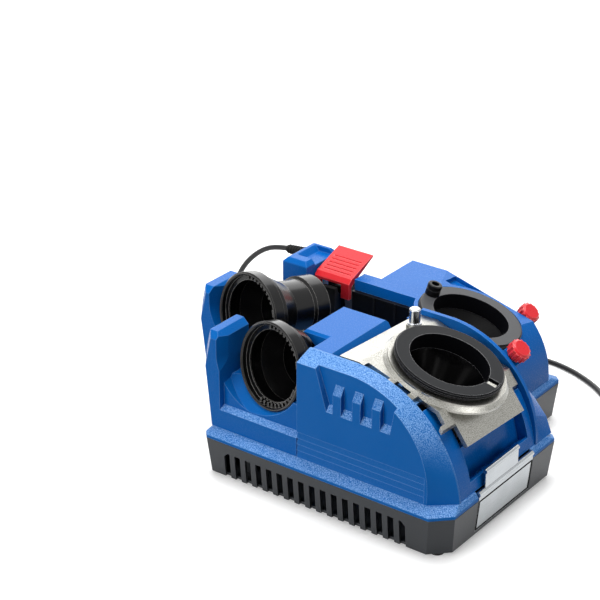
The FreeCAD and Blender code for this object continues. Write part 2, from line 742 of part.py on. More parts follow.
def make_near_side_cover():
    """Bevelled side moulding with the louvre pocket and the steps."""
    outer = ruled([panel_arch(0, DECK_Z, COVER_FACE), near_arch(0, DECK_Z, COVER_BEVEL)])
    outer = outer.fuse(Part.Face(near_arch(0, DECK_Z, COVER_BEVEL)).extrude(V(0, COVER_RIM, 0)))
    low = DECK_Z - OVER
    inner = ruled([panel_arch(SKIN, low, COVER_FACE + SKIN), near_arch(SKIN, low, COVER_BEVEL)])
    rim = Part.Face(near_arch(SKIN, low, COVER_BEVEL)).extrude(V(0, COVER_RIM + OVER, 0))
    shell = outer.cut([inner, rim])
    backing = span((LOUVRE_LEFT - LOUVRE_FLARE_LEFT - SKIN, LOUVRE_RIGHT + LOUVRE_FLARE_RIGHT + SKIN),
                   (COVER_FACE, COVER_FACE + LOUVRE_DEPTH + SKIN), (LOUVRE_BOTTOM - SKIN, COVER_TOP))
    near_edge = NEAR_FRONT - NEAR_PORT.y
    deep = (-2 * PLATE_THICK, -PLATE_THICK)
    along = (SHELF_LEFT, SHELF_RIGHT)
    shelf = placed(span(along, (near_edge, COVER_BACK - NEAR_PORT.y), deep), NEAR_PORT_FRAME).common(outer)
    ledge = span(along, (COVER_BEVEL - NEAR_PORT.y, COVER_BACK - NEAR_PORT.y + SHELF_REACH), deep)
    shell = shell.fuse([backing.common(outer), shelf, placed(ledge, NEAR_PORT_FRAME)])
    shell = shell.cut(louvre_pocket()).fuse(louvre_bars())
    return cut(shell, *step_cuts())


def make_near_top_block():
    """L-shaped canopy over the tail of the near chuck, open below."""
    front = COVER_BACK + GAP
    waist = COVER_LEFT
    corners = [
        (BLOCK_LEFT, BLOCK_NOTCH_Y), (waist, BLOCK_NOTCH_Y), (waist, front), (BLOCK_RIGHT, front),
        (BLOCK_RIGHT, BLOCK_BACK), (BLOCK_LEFT, BLOCK_BACK),
    ]
    block = prism_xy(corners, DECK_Z, COVER_TOP)
    rims = [edge for edge in block.Edges
            if all(abs(vertex.Z - COVER_TOP) < RUN for vertex in edge.Vertexes)
            and not all(abs(vertex.Y - front) < RUN for vertex in edge.Vertexes)
            and not all(abs(vertex.X - BLOCK_RIGHT) < RUN for vertex in edge.Vertexes)]
    block = block.makeChamfer(BLOCK_BEVEL, rims)
    slope = prism_xz([
        (BLOCK_RIGHT - BLOCK_SLOPE_RUN, COVER_TOP + OVER / 2), (BLOCK_RIGHT + OVER, COVER_TOP + OVER / 2),
        (BLOCK_RIGHT + OVER, COVER_TOP - BLOCK_SLOPE_DROP), (BLOCK_RIGHT, COVER_TOP - BLOCK_SLOPE_DROP),
        (BLOCK_RIGHT - BLOCK_SLOPE_RUN, COVER_TOP),
    ], front - OVER, BLOCK_BACK + OVER)
    hollow_corners = [
        (BLOCK_LEFT + SKIN, BLOCK_NOTCH_Y + SKIN), (waist + SKIN, BLOCK_NOTCH_Y + SKIN),
        (waist + SKIN, front + SKIN), (BLOCK_RIGHT - SKIN, front + SKIN),
        (BLOCK_RIGHT - SKIN, BLOCK_BACK - SKIN), (BLOCK_LEFT + SKIN, BLOCK_BACK - SKIN),
    ]
    ceiling = COVER_TOP - BLOCK_SLOPE_DROP - SKIN
    hollow = prism_xy(hollow_corners, DECK_Z - OVER, ceiling)
    tail = -CHUCK_LENGTH - OVER
    narrow = CHUCK_TAIL + 2 * OVER
    wide = CHUCK_SPIGOT + 2 * OVER
    tunnel = placed(turned([
        (0, tail), (narrow, tail), (narrow, -CHUCK_LENGTH * CHUCK_WAIST), (wide, -2 * CHUCK_RING_HALF),
        (wide, NEAR_DEPTH), (0, NEAR_DEPTH),
    ]), NEAR_CHUCK_FRAME)
    return cut(block, slope, hollow, tunnel)


def make_centre_wall():
    """Thin arched wall between the stations, with the pad of the near knob."""
    wall = Part.Face(arch(WALL_LEFT, WALL_ARC_X, WALL_ARC_Z, WALL_RADIUS, DECK_Z, WALL_FRONT))
    wall = wall.extrude(V(0, WALL_THICK, 0))
    pad = span((-PAD_HALF, PAD_HALF), (WALL_FRONT - NEAR_KNOB_Y + OVER, PAD_HALF), (-PAD_DEPTH, 0))
    pad = placed(pad, NEAR_KNOB_FRAME)
    socket = placed(Part.makeCylinder(STUD_RADIUS, STUD_ROOT + OVER, V(0, 0, -STUD_ROOT)), NEAR_KNOB_FRAME)
    motor_hole = rod(MOTOR_RADIUS + OVER, V(SHAFT_X, WALL_FRONT - OVER, SHAFT_Z),
                     V(SHAFT_X, WALL_BACK + OVER, SHAFT_Z))
    below = span((SHAFT_X - MOTOR_RADIUS - OVER, SHAFT_X + MOTOR_RADIUS + OVER),
                 (WALL_FRONT - OVER, WALL_BACK + OVER), (DECK_Z - OVER, SHAFT_Z))
    return cut(wall.fuse(pad), socket, motor_hole, below)


def arc_x_at(z):
    """X of the near arch at a height."""
    return ARC_X + sqrt(ARC_RADIUS ** 2 - (z - ARC_Z) ** 2)


def make_cheek(front, back):
    """One cheek of the end cover: it follows the near arch and stops under the port plate."""
    cheek = Part.Face(near_arch(CHEEK_INSET, DECK_Z, front))
    cheek = cheek.extrude(V(0, back - front, 0))
    cheek = cheek.common(span((CHEEK_LEFT, NEAR_RIGHT), (front, back), (DECK_Z, COVER_TOP)))
    under = -PLATE_THICK - OVER
    bend = PLATE_BEND - PLATE_THICK
    shoulder = LIP_SHOULDER + OVER
    fall = LIP_DROP / LIP_RUN * (shoulder - bend) + OVER
    slab = prism_xz([
        (-NEAR_LENGTH, under), (bend, under), (shoulder, under - fall), (shoulder, NEAR_LENGTH),
        (-NEAR_LENGTH, NEAR_LENGTH),
    ], -NEAR_DEPTH, NEAR_DEPTH)
    return cheek.cut(placed(slab, NEAR_PORT_FRAME))


def make_near_end_cover():
    """Right-hand end: two cheeks with a trough between them above the drawer."""
    near_cheek = make_cheek(COVER_BACK + GAP, TROUGH_FRONT)
    far_cheek = make_cheek(TROUGH_BACK, WALL_FRONT - GAP)
    rim_x = arc_x_at(TROUGH_LIP_Z) - CHEEK_INSET
    trough = prism_xz([
        (TROUGH_LEFT, DECK_Z), (arc_x_at(DECK_Z) - CHEEK_INSET, DECK_Z), (rim_x, TROUGH_LIP_Z),
        (rim_x - SKIN, TROUGH_LIP_Z), (TROUGH_FOOT_X, DECK_Z + 2 * SKIN),
        (TROUGH_LEFT + SKIN, TROUGH_TOP_Z), (TROUGH_LEFT, TROUGH_TOP_Z),
    ], TROUGH_FRONT, TROUGH_BACK)
    return fused(near_cheek, trough, far_cheek)


def buttress_outline(fall):
    """Section of the buttress in X and Z, lowered by a fall."""
    middle = (DECK_Z + BUTTRESS_TOP) / 2
    left = TROUGH_LEFT - fall / 2
    return [
        (left, DECK_Z), (arc_x_at(DECK_Z), DECK_Z), (arc_x_at(middle), middle - fall / 2),
        (arc_x_at(BUTTRESS_TOP), BUTTRESS_TOP - fall), (left, BUTTRESS_TOP - fall / 2),
    ]


def make_end_buttress():
    """Sloping buttress behind the centre wall at the right-hand end."""
    start = [V(x, WALL_BACK + GAP, z) for x, z in buttress_outline(0)]
    finish = [V(x, WALL_BACK + BUTTRESS_OUT, z) for x, z in buttress_outline(BUTTRESS_FALL)]
    return ruled([polygon(start), polygon(finish)])


# Cradles and chucks

def make_cradle(left, right, front, lean, frame):
    """Saddle block with a tall pillar on its left and the chuck's seat cut into it."""
    back = front + CRADLE_DEPTH
    pillar_right = left + PILLAR_WIDTH
    pillar = prism_xz([
        (left, DECK_Z), (left - lean, PILLAR_SHOULDER), (left - lean + PILLAR_CREST, PILLAR_TOP),
        (pillar_right, PILLAR_TOP), (pillar_right, DECK_Z),
    ], front, back)
    crest = [edge for edge in pillar.Edges
             if all(vertex.Z > PILLAR_SHOULDER - RUN for vertex in edge.Vertexes)
             and (all(abs(vertex.Y - front) < RUN for vertex in edge.Vertexes)
                  or all(abs(vertex.X - pillar_right) < RUN for vertex in edge.Vertexes))]
    pillar = pillar.makeChamfer(PILLAR_EDGE, crest)
    apron = prism_yz([
        (front, DECK_Z), (front, LEDGE_Z), (front + CRADLE_RECESS, LEDGE_Z + LEDGE_RISE),
        (front + CRADLE_RECESS, CRADLE_ARM_Z), (back, CRADLE_ARM_Z), (back, DECK_Z),
    ], pillar_right - OVER, right)
    seat_radius = CHUCK_RING_RADIUS + SEAT
    reach = CRADLE_DEPTH + CHUCK_LENGTH
    seat = Part.makeCylinder(seat_radius, 2 * reach, V(0, 0, -reach))
    lip = CHUCK_RING_HALF - 2 * OVER
    flare = turned([
        (0, lip), (seat_radius, lip), (seat_radius + SEAT_FLARE, lip + SEAT_FLARE),
        (seat_radius + SEAT_FLARE, reach), (0, reach),
    ])
    apron = cut(apron, placed(flare, frame))
    sky = span((-seat_radius, seat_radius), (0, PILLAR_TOP), (-reach, reach))
    hollow = span((left + SKIN, right - SKIN), (front + SKIN, back - SKIN),
                  (DECK_Z - OVER, LEDGE_Z - SKIN))
    return cut(pillar.fuse(apron), placed(seat, frame), placed(sky, frame), hollow)


def make_chuck_sleeve():
    """Body of a chuck, turned, with its cup-shaped mouth and straight bore."""
    tail = -CHUCK_LENGTH
    waist = tail * CHUCK_WAIST
    shoulder = tail * CHUCK_SHOULDER
    front = CHUCK_SPIGOT_TOP - SEAT
    step = -2 * CHUCK_RING_HALF
    cup_floor = shoulder + CHUCK_WALL
    return turned([
        (CHUCK_SPIGOT, front), (CHUCK_SPIGOT, step), (CHUCK_NECK, waist), (CHUCK_NECK, shoulder),
        (CHUCK_TAIL, shoulder - CHUCK_WALL), (CHUCK_TAIL, tail), (CHUCK_BORE, tail),
        (CHUCK_BORE, cup_floor), (CHUCK_NECK - CHUCK_WALL, cup_floor),
        (CHUCK_NECK - CHUCK_WALL, waist), (CHUCK_SPIGOT - CHUCK_WALL, step),
        (CHUCK_SPIGOT - CHUCK_WALL, front),
    ])


def make_chuck_ring():
    """Gripping ring of a chuck: a thin rim with a web and two toothed arcs in its bore."""
    half = CHUCK_RING_HALF
    edge = CHUCK_WALL / 2
    socket = CHUCK_SPIGOT + RUN
    web = CHUCK_SPIGOT_TOP + CHUCK_WEB
    ring = turned([
        (CHUCK_MOUTH, CHUCK_SPIGOT_TOP), (CHUCK_MOUTH, web), (CHUCK_RIM, web),
        (CHUCK_RIM, half - edge), (CHUCK_RIM + edge, half),
        (CHUCK_RING_RADIUS - edge, half), (CHUCK_RING_RADIUS, half - edge),
        (CHUCK_RING_RADIUS, edge - half), (CHUCK_RING_RADIUS - edge, -half), (socket, -half),
        (socket, CHUCK_SPIGOT_TOP),
    ])
    depth = (CHUCK_SPIGOT_TOP + CHUCK_WEB / 2, half - CHUCK_WALL)
    tooth = span((CHUCK_TOOTH_TIP, CHUCK_RIM + edge), (-CHUCK_TOOTH / 2, CHUCK_TOOTH / 2), depth)
    lug = span((CHUCK_TOOTH_TIP, CHUCK_RIM + edge), (-CHUCK_LUG / 2, CHUCK_LUG / 2), depth)
    last = (CHUCK_TEETH - 1) / 2
    grips = []
    for side in (1, -1):
        for place in range(CHUCK_TEETH):
            grips.append(tooth.rotated(V(), V(0, 0, 1), side * (CHUCK_ARC + CHUCK_PITCH * (place - last))))
        grips.append(lug.rotated(V(), V(0, 0, 1), side * (CHUCK_ARC - CHUCK_PITCH * (last + 2))))
    return fused(ring, *grips)


def make_chuck_jaws():
    """Three jaws that close on a drill in the bore."""
    half = JAW_WIDTH / 2
    start = -CHUCK_LENGTH + CHUCK_WALL
    jaw = prism_xz([
        (JAW_TIP, start + JAW_WIDTH), (JAW_TIP, start + JAW_LENGTH), (CHUCK_BORE, start + JAW_LENGTH),
        (CHUCK_BORE, start), (JAW_TIP + half, start),
    ], -half, half)
    jaw = jaw.common(Part.makeCylinder(CHUCK_BORE, CHUCK_LENGTH, V(0, 0, -CHUCK_LENGTH)))
    return Part.makeCompound(around(jaw, JAW_COUNT))


# Grinding ports

def plate_outline():
    """Section of the near plate in its own frame: level part, slope and lip, one thickness all along."""
    tilt = radians(NEAR_TILT)
    level = ((NEAR_PORT.x - BLOCK_RIGHT - 2 * GAP) / cos(tilt) + PLATE_LEVEL) * cos(tilt)
    top = [
        V(PLATE_LEVEL - level * cos(tilt), 0, -level * sin(tilt)), V(PLATE_LEVEL, 0, 0),
        V(PLATE_BEND, 0, 0), V(PLATE_BEND + LIP_RUN, 0, -LIP_DROP),
    ]
    bottom = []
    for index, point in enumerate(top):
        before = point - top[max(index - 1, 0)]
        after = top[min(index + 1, len(top) - 1)] - point
        if before.Length > 0:
            before.normalize()
        if after.Length > 0:
            after.normalize()
        along = (before + after).normalize()
        bottom.append(point + V(along.z, 0, -along.x) * PLATE_THICK)
    return [(point.x, point.z) for point in top + bottom[::-1]]


def make_port_plate():
    """Cast plate of the near port: bent top, collar, pin boss, notch, slits and leg."""
    front = COVER_BACK + GAP - NEAR_PORT.y
    back = WALL_FRONT - GAP - PLATE_SKEW - NEAR_PORT.y
    left = plate_outline()[0][0] - OVER
    lip_u = PLATE_BEND + LIP_RUN
    plate = prism_xz(plate_outline(), front, back)
    deep = (-2 * LIP_DROP, OVER)
    notch_right = PLATE_NOTCH_LEFT + PLATE_NOTCH_WIDTH
    slit_left = PLATE_NOTCH_LEFT - PLATE_TAB
    slit_right = notch_right + PLATE_TAB
    beside = [
        span((LIP_SHOULDER, lip_u + OVER), (front - OVER, LIP_FRONT), deep),
        span((LIP_SHOULDER, lip_u + OVER), (LIP_BACK, back + OVER), deep),
        span((PLATE_NOTCH_LEFT, notch_right), (front - OVER, front + PLATE_NOTCH_DEPTH), deep),
        span((slit_left - PLATE_SLIT_LEFT, slit_left), (front - OVER, front + PLATE_SLIT), deep),
        span((slit_right, slit_right + PLATE_SLIT_RIGHT), (front - OVER, front + PLATE_SLIT), deep),
    ]
    collar = turned([
        (0, -PLATE_THICK / 2), (COLLAR_RADIUS + COLLAR_FILLET, -PLATE_THICK / 2),
        (COLLAR_RADIUS + COLLAR_FILLET, 0), (COLLAR_RADIUS, COLLAR_FILLET),
        (COLLAR_RADIUS, COLLAR_RISE), (0, COLLAR_RISE),
    ])
    reach = span((left, lip_u), (front, back), (-PLATE_THICK, PIN_BOSS_RISE + OVER))
    cast = plate.fuse(collar.common(reach)).cut(beside)
    bore = Part.makeCylinder(PORT_SPIGOT, 2 * LIP_DROP + COLLAR_RISE, V(0, 0, -LIP_DROP - PLATE_THICK))
    cast = placed(cast.cut(bore), NEAR_PORT_FRAME)
    boss = rod(PIN_BOSS_RADIUS, V(PIN_X, PIN_Y, PIN_FOOT - PIN_BOSS_RISE - PLATE_THICK / 2),
               V(PIN_X, PIN_Y, PIN_FOOT))
    ground = placed(span((left, PLATE_BEND), (front, back), (-NEAR_PORT.z, -PLATE_THICK / 2)), NEAR_PORT_FRAME)
    leg_x = WELL_RIGHT + 1.5 * PLATE_LEG_RADIUS
    leg = rod(PLATE_LEG_RADIUS, V(leg_x, PLATE_LEG_Y, DECK_Z), V(leg_x, PLATE_LEG_Y, NEAR_PORT.z + COVER_TOP))
    clear = Part.makeCylinder(PORT_RING_RADIUS + SEAT, 2 * PIN_BOSS_RISE, V(0, 0, COLLAR_RISE))
    return cut(cast.fuse([boss, leg.common(ground)]), placed(clear, NEAR_PORT_FRAME))


def make_port_ring(with_key_slot):
    """Ring that turns in the collar."""
    floor = COLLAR_RISE + SEAT
    under = PORT_RING_RISE - PORT_RING_FLANGE
    waist = PORT_RING_RADIUS - PORT_RING_UNDERCUT
    edge = PORT_RING_EDGE
    ring = turned([
        (PORT_BORE, PORT_RING_RISE), (PORT_RING_RADIUS - edge, PORT_RING_RISE),
        (PORT_RING_RADIUS, PORT_RING_RISE - edge), (PORT_RING_RADIUS, under), (waist, under), (waist, floor),
        (PORT_SPIGOT - RUN, floor), (PORT_SPIGOT - RUN, SEAT - PLATE_THICK),
        (PORT_BORE, SEAT - PLATE_THICK),
    ])
    if not with_key_slot:
        return ring
    slot = span((PORT_BORE - OVER, KEY_SLOT_OUT), (-KEY_SLOT_WIDTH / 2, KEY_SLOT_WIDTH / 2),
                (PORT_RING_RISE - KEY_SLOT_DEPTH, PORT_RING_RISE + OVER))
    slot.rotate(V(0, 0, 0), V(0, 0, 1), KEY_ANGLE)
    return ring.cut(slot)


def make_ring_key():
    """Steel key that lies in the ring's slot."""
    floor = PORT_RING_RISE - KEY_SLOT_DEPTH
    key = prism_xz([
        (PORT_BORE + OVER, floor), (KEY_SLOT_OUT - OVER, floor),
        (KEY_SLOT_OUT - OVER, PORT_RING_RISE - OVER), (PORT_BORE + 2 * OVER, PORT_RING_RISE - OVER),
        (PORT_BORE + OVER, PORT_RING_RISE - 2 * OVER),
    ], SEAT - KEY_SLOT_WIDTH / 2, SEAT - KEY_SLOT_WIDTH / 2 + KEY_WIDTH)
    key.rotate(V(0, 0, 0), V(0, 0, 1), KEY_ANGLE)
    return key


def make_port_cup(depth):
    """Cup under a port ring, with a hole over the wheel."""
    top = -PLATE_THICK
    flange = top - CUP_WALL
    floor = top - depth
    slant = V(PORT_BORE - CUP_FOOT, 0, depth).normalize() * CUP_ROUND
    corner = V(CUP_FOOT, 0, floor)
    inside = [corner - V(CUP_ROUND, 0, 0), corner + (slant - V(CUP_ROUND, 0, 0)) / 4, corner + slant]
    cup = turned([
        (PORT_BORE, top), (CUP_FLANGE, top), (CUP_FLANGE, flange), (PORT_BORE + CUP_WALL, flange),
        (CUP_FOOT + CUP_WALL, floor), (CUP_FOOT + CUP_WALL, floor - CUP_WALL),
        (CUP_HOLE, floor - CUP_WALL), (CUP_HOLE, floor),
    ] + [(point.x, point.z) for point in inside])
    lip = span((PLATE_BEND - PLATE_THICK, CUP_FLANGE), (-CUP_FLANGE, CUP_FLANGE), (flange, top))
    return cup.cut(lip.cut(Part.makeCylinder(PORT_SPIGOT - SEAT, CUP_WALL, V(0, 0, flange))))


def make_stop_pin():
    """Steel pin with a shoulder, upright on the plate's boss."""
    shoulder = PIN_SHOULDER - PIN_RADIUS
    pin = turned([
        (0, 0), (PIN_SHOULDER, 0), (PIN_SHOULDER, shoulder), (PIN_RADIUS, shoulder),
        (PIN_RADIUS, PIN_RISE - PIN_CHAMFER), (PIN_RADIUS - PIN_CHAMFER, PIN_RISE), (0, PIN_RISE),
    ])
    pin.translate(V(PIN_X, PIN_Y, PIN_FOOT))
    clear = Part.makeCylinder(PORT_RING_RADIUS + SEAT, PIN_RISE + PIN_BOSS_RISE, V(0, 0, COLLAR_RISE))
    return pin.cut(placed(clear, NEAR_PORT_FRAME))


# Far station

def far_arch(inset, left, foot, y):
    """The arch of the far deck, drawn in by an inset."""
    return arch(left, FAR_ARC_X, FAR_ARC_Z, FAR_ARC_RADIUS - inset, foot, y)


def make_far_deck():
    """Arched deck shell, planed to the slope of its port, with the port's seat and the knob's pad."""
    front = WALL_BACK + GAP
    low = DECK_Z - OVER
    outer = Part.Face(far_arch(0, FAR_STRIP_LEFT, DECK_Z, front)).extrude(V(0, FAR_DECK_BACK - front, 0))
    wide = (-NEAR_LENGTH, NEAR_LENGTH)
    sky = placed(span(wide, wide, (FAR_FACE_RISE, NEAR_LENGTH)), FAR_PORT_FRAME)
    under = placed(span(wide, wide, (FAR_FACE_RISE - SKIN, NEAR_LENGTH)), FAR_PORT_FRAME)
    outer = outer.cut(sky)
    inner = Part.Face(far_arch(SKIN, FAR_STRIP_LEFT + SKIN, low, front - OVER))
    inner = inner.extrude(V(0, FAR_DECK_BACK - front - SKIN + OVER, 0)).cut(under)
    valley = span((FAR_STRIP_LEFT - OVER, FAR_WING), (front - OVER, FAR_DECK_FRONT), (low, FAR_TOP + OVER))
    corner = span((FAR_STRIP_LEFT - OVER, FAR_DECK_LEFT), (FAR_STRIP_BACK, FAR_DECK_BACK + OVER),
                  (low, FAR_TOP + OVER))
    deck = outer.cut(inner).cut([valley, corner])
    rim_radius = PORT_RING_RADIUS + 2 * GAP
    rim = turned([
        (rim_radius, -FAR_SEAT_DEPTH), (rim_radius + FAR_SEAT_WALL, -FAR_SEAT_DEPTH),
        (rim_radius + FAR_SEAT_WALL, FAR_FACE_RISE), (rim_radius, FAR_FACE_RISE),
    ])
    niche = span((NICHE_LEFT, NICHE_RIGHT), (NICHE_FRONT, FAR_DECK_BACK - SKIN - FAR_PORT.y),
                 (FAR_FACE_RISE - NICHE_DEPTH, NEAR_DEPTH))
    niche = niche.cut(Part.makeCylinder(rim_radius + FAR_SEAT_WALL, NEAR_DEPTH, V(0, 0, -FAR_SEAT_DEPTH)))
    niche_floor = span((NICHE_LEFT - SKIN, NICHE_RIGHT + SKIN), (NICHE_FRONT - SKIN, FAR_DECK_BACK - FAR_PORT.y),
                       (FAR_FACE_RISE - NICHE_DEPTH - SKIN, FAR_FACE_RISE))
    additions = [placed(rim, FAR_PORT_FRAME).common(outer), placed(niche_floor, FAR_PORT_FRAME).common(outer)]
    deck = deck.fuse(additions)
    walls = [
        span((FAR_STRIP_LEFT, FAR_WING), (FAR_DECK_FRONT, FAR_DECK_FRONT + SKIN), (FAR_TOP - FAR_LIP, FAR_TOP)),
        span((FAR_WING, FAR_WING + SKIN), (front, FAR_DECK_FRONT + SKIN), (DECK_Z, FAR_TOP)),
        span((FAR_DECK_LEFT, FAR_DECK_LEFT + SKIN), (FAR_STRIP_BACK, FAR_DECK_BACK), (DECK_Z, FAR_TOP)),
        span((FAR_STRIP_LEFT, FAR_DECK_LEFT + SKIN), (FAR_STRIP_BACK - SKIN, FAR_STRIP_BACK), (DECK_Z, FAR_TOP)),
    ]
    seat = turned([
        (PORT_SPIGOT, -PLATE_THICK), (rim_radius, -PLATE_THICK), (rim_radius, COLLAR_RISE),
        (PORT_SPIGOT, COLLAR_RISE),
    ])
    pad = span((-PAD_HALF, PAD_HALF), (FAR_DECK_BACK - FAR_KNOB_Y - OVER, PAD_HALF - OVER), (-PAD_DEPTH, 0))
    pad = placed(pad, FAR_KNOB_FRAME)
    shaft_way = placed(Part.makeCylinder(PORT_SPIGOT, NEAR_LENGTH, V(0, 0, -FAR_SEAT_DEPTH)), FAR_PORT_FRAME)
    ring_way = placed(Part.makeCylinder(rim_radius, NEAR_LENGTH, V(0, 0, COLLAR_RISE)), FAR_PORT_FRAME)
    cup_way = placed(Part.makeCylinder(CUP_FLANGE + SEAT, FAR_TOP / 2, V(0, 0, -PLATE_THICK - FAR_TOP / 2)),
                     FAR_PORT_FRAME)
    socket = placed(Part.makeCylinder(STUD_RADIUS, STUD_ROOT + OVER, V(0, 0, -STUD_ROOT)), FAR_KNOB_FRAME)
    switch = span((SWITCH_X - SWITCH_WIDTH / 2, SWITCH_X + SWITCH_WIDTH / 2),
                  (FAR_DECK_BACK - 2 * SKIN, FAR_DECK_BACK + OVER),
                  (SWITCH_Z - SWITCH_HEIGHT / 2, SWITCH_Z + SWITCH_HEIGHT / 2))
    deck = deck.fuse([wall.cut(sky) for wall in walls] + [placed(seat, FAR_PORT_FRAME), pad])
    return cut(deck, shaft_way, ring_way, cup_way, placed(niche, FAR_PORT_FRAME), socket, switch)


def make_far_inner_panel():
    """Black panel under the front edge of the far deck, with shallow ribs."""
    panel = span((FAR_STRIP_LEFT, FAR_WING), (FAR_PANEL_FRONT, FAR_PANEL_FRONT + PANEL_THICK),
                 (DECK_Z, FAR_TOP - FAR_LIP))
    ribs = []
    for index in range(1, int((FAR_WING - FAR_STRIP_LEFT) / PANEL_RIB_PITCH) + 1):
        x = FAR_STRIP_LEFT + index * PANEL_RIB_PITCH
        ribs.append(span((x, x + PANEL_RIB_WIDTH), (FAR_PANEL_FRONT - PANEL_RIB_DEPTH, FAR_PANEL_FRONT),
                         (DECK_Z, FAR_TOP - FAR_LIP)))
    well = Part.makeCylinder(PORT_RING_RADIUS + 2 * GAP + FAR_SEAT_WALL + OVER, NEAR_LENGTH,
                             V(0, 0, -FAR_SEAT_DEPTH - OVER))
    return cut(panel.fuse(ribs), placed(well, FAR_PORT_FRAME))


def make_far_block_foot():
    """Black lower half of the far block."""
    return span((FAR_BLOCK_LEFT, FAR_BLOCK_RIGHT), (FAR_BLOCK_FRONT, FAR_BLOCK_BACK), (DECK_Z, FAR_BLOCK_SPLIT))


def make_far_block():
    """Blue upper half with a sunk top and rounded corners."""
    block = span((FAR_BLOCK_LEFT, FAR_BLOCK_RIGHT), (FAR_BLOCK_FRONT, FAR_BLOCK_BACK),
                 (FAR_BLOCK_SPLIT, FAR_BLOCK_TOP))
    rims = [edge for edge in block.Edges if all(vertex.Z > FAR_BLOCK_TOP - RUN for vertex in edge.Vertexes)]
    block = block.makeChamfer(FAR_BLOCK_ROUND, rims)
    sunk = FAR_BLOCK_TOP - FAR_POCKET_DEPTH
    inset = FAR_BLOCK_ROUND + FAR_POCKET_RIM / 2
    pocket = prism_xz([
        (FAR_BLOCK_LEFT + inset + FAR_POCKET_RIM, sunk), (FAR_BLOCK_RIGHT + OVER, sunk),
        (FAR_BLOCK_RIGHT + OVER, FAR_BLOCK_TOP + OVER), (FAR_BLOCK_LEFT + inset, FAR_BLOCK_TOP + OVER),
    ], FAR_BLOCK_FRONT + 2 * inset, FAR_BLOCK_BACK - inset)
    gland = rod(CORD_RADIUS + OVER, V(FAR_BLOCK_LEFT - OVER, GLAND_Y, GLAND_Z),
                V(FAR_BLOCK_LEFT + GLAND_LENGTH / 2, GLAND_Y, GLAND_Z))
    return cut(block, pocket, gland)


def make_guide_post():
    """Hollow black post with a groove round it, by which the far ring is turned."""
    foot = PORT_RING_RISE
    top = foot + GUIDE_RISE
    groove = foot + GUIDE_RISE / 2
    post = turned([
        (GUIDE_BORE, foot), (GUIDE_RADIUS, foot), (GUIDE_RADIUS, groove), (GUIDE_RADIUS - OVER, groove),
        (GUIDE_RADIUS - OVER, groove + GUIDE_SLOT / 2), (GUIDE_RADIUS, groove + GUIDE_SLOT / 2),
        (GUIDE_RADIUS, top - OVER), (GUIDE_RADIUS - OVER, top), (GUIDE_BORE, top),
    ])
    post.translate(V((PORT_BORE + PORT_RING_RADIUS) / 2, 0, 0))
    post.rotate(V(0, 0, 0), V(0, 0, 1), GUIDE_ANGLE)
    return post


# Latch

def latch_point(run):
    """Point on the paddle's upper face, a run behind its knee, as (y, z)."""
    rise = LATCH_TIP_Z - LATCH_KNEE_Z - LATCH_THICK
    slope = rise / (LATCH_TIP_Y - LATCH_FRONT - LATCH_THICK)
    return LATCH_FRONT + LATCH_THICK + run, LATCH_KNEE_Z + LATCH_THICK + run * slope


def make_latch_lever():
    """Red paddle with grip grooves, two legs and the hinge ear."""
    tip_y, tip_z = LATCH_TIP_Y, LATCH_TIP_Z
    knee = LATCH_KNEE_Z + LATCH_THICK
    lever = prism_yz([
        (LATCH_FRONT, LATCH_FOOT_Z), (LATCH_FRONT, LATCH_KNEE_Z), (LATCH_FRONT + LATCH_THICK, knee),
        (tip_y, tip_z), (tip_y, tip_z - LATCH_THICK / 2),
        (LATCH_PIN_Y, LATCH_KNEE_Z + OVER), (LATCH_FRONT + LATCH_THICK, LATCH_KNEE_Z - LATCH_THICK),
        (LATCH_FRONT + LATCH_THICK, LATCH_FOOT_Z),
    ], LATCH_LEFT, LATCH_RIGHT)
    window = span((LATCH_GAP_LEFT, LATCH_GAP_RIGHT), (LATCH_FRONT - OVER, LATCH_FRONT + LATCH_THICK + OVER),
                  (LATCH_FOOT_Z - OVER, LATCH_GAP_TOP))
    middle = (LATCH_LEFT + LATCH_RIGHT) / 2
    ear = rod(LATCH_EAR_RADIUS, V(middle - LATCH_EAR_HALF, LATCH_PIN_Y, LATCH_PIN_Z),
              V(middle + LATCH_EAR_HALF, LATCH_PIN_Y, LATCH_PIN_Z))
    web = span((middle - LATCH_EAR_HALF, middle + LATCH_EAR_HALF),
               (LATCH_PIN_Y - LATCH_EAR_RADIUS, LATCH_PIN_Y + LATCH_EAR_RADIUS),
               (LATCH_PIN_Z, LATCH_KNEE_Z + 2 * OVER))
    bore = rod(LATCH_PIN_RADIUS + RUN, V(LATCH_LEFT, LATCH_PIN_Y, LATCH_PIN_Z),
               V(LATCH_RIGHT, LATCH_PIN_Y, LATCH_PIN_Z))
    grooves = []
    for index in range(LATCH_GROOVES):
        y, z = latch_point(LATCH_THICK + index * LATCH_GROOVE_PITCH)
        grooves.append(span((LATCH_LEFT + LATCH_THICK, LATCH_RIGHT - LATCH_THICK), (y, y + LATCH_GROOVE_WIDTH),
                            (z - LATCH_GROOVE_DEPTH, z + LATCH_THICK)))
    return cut(lever.cut(window).fuse([ear, web]), bore, *grooves)


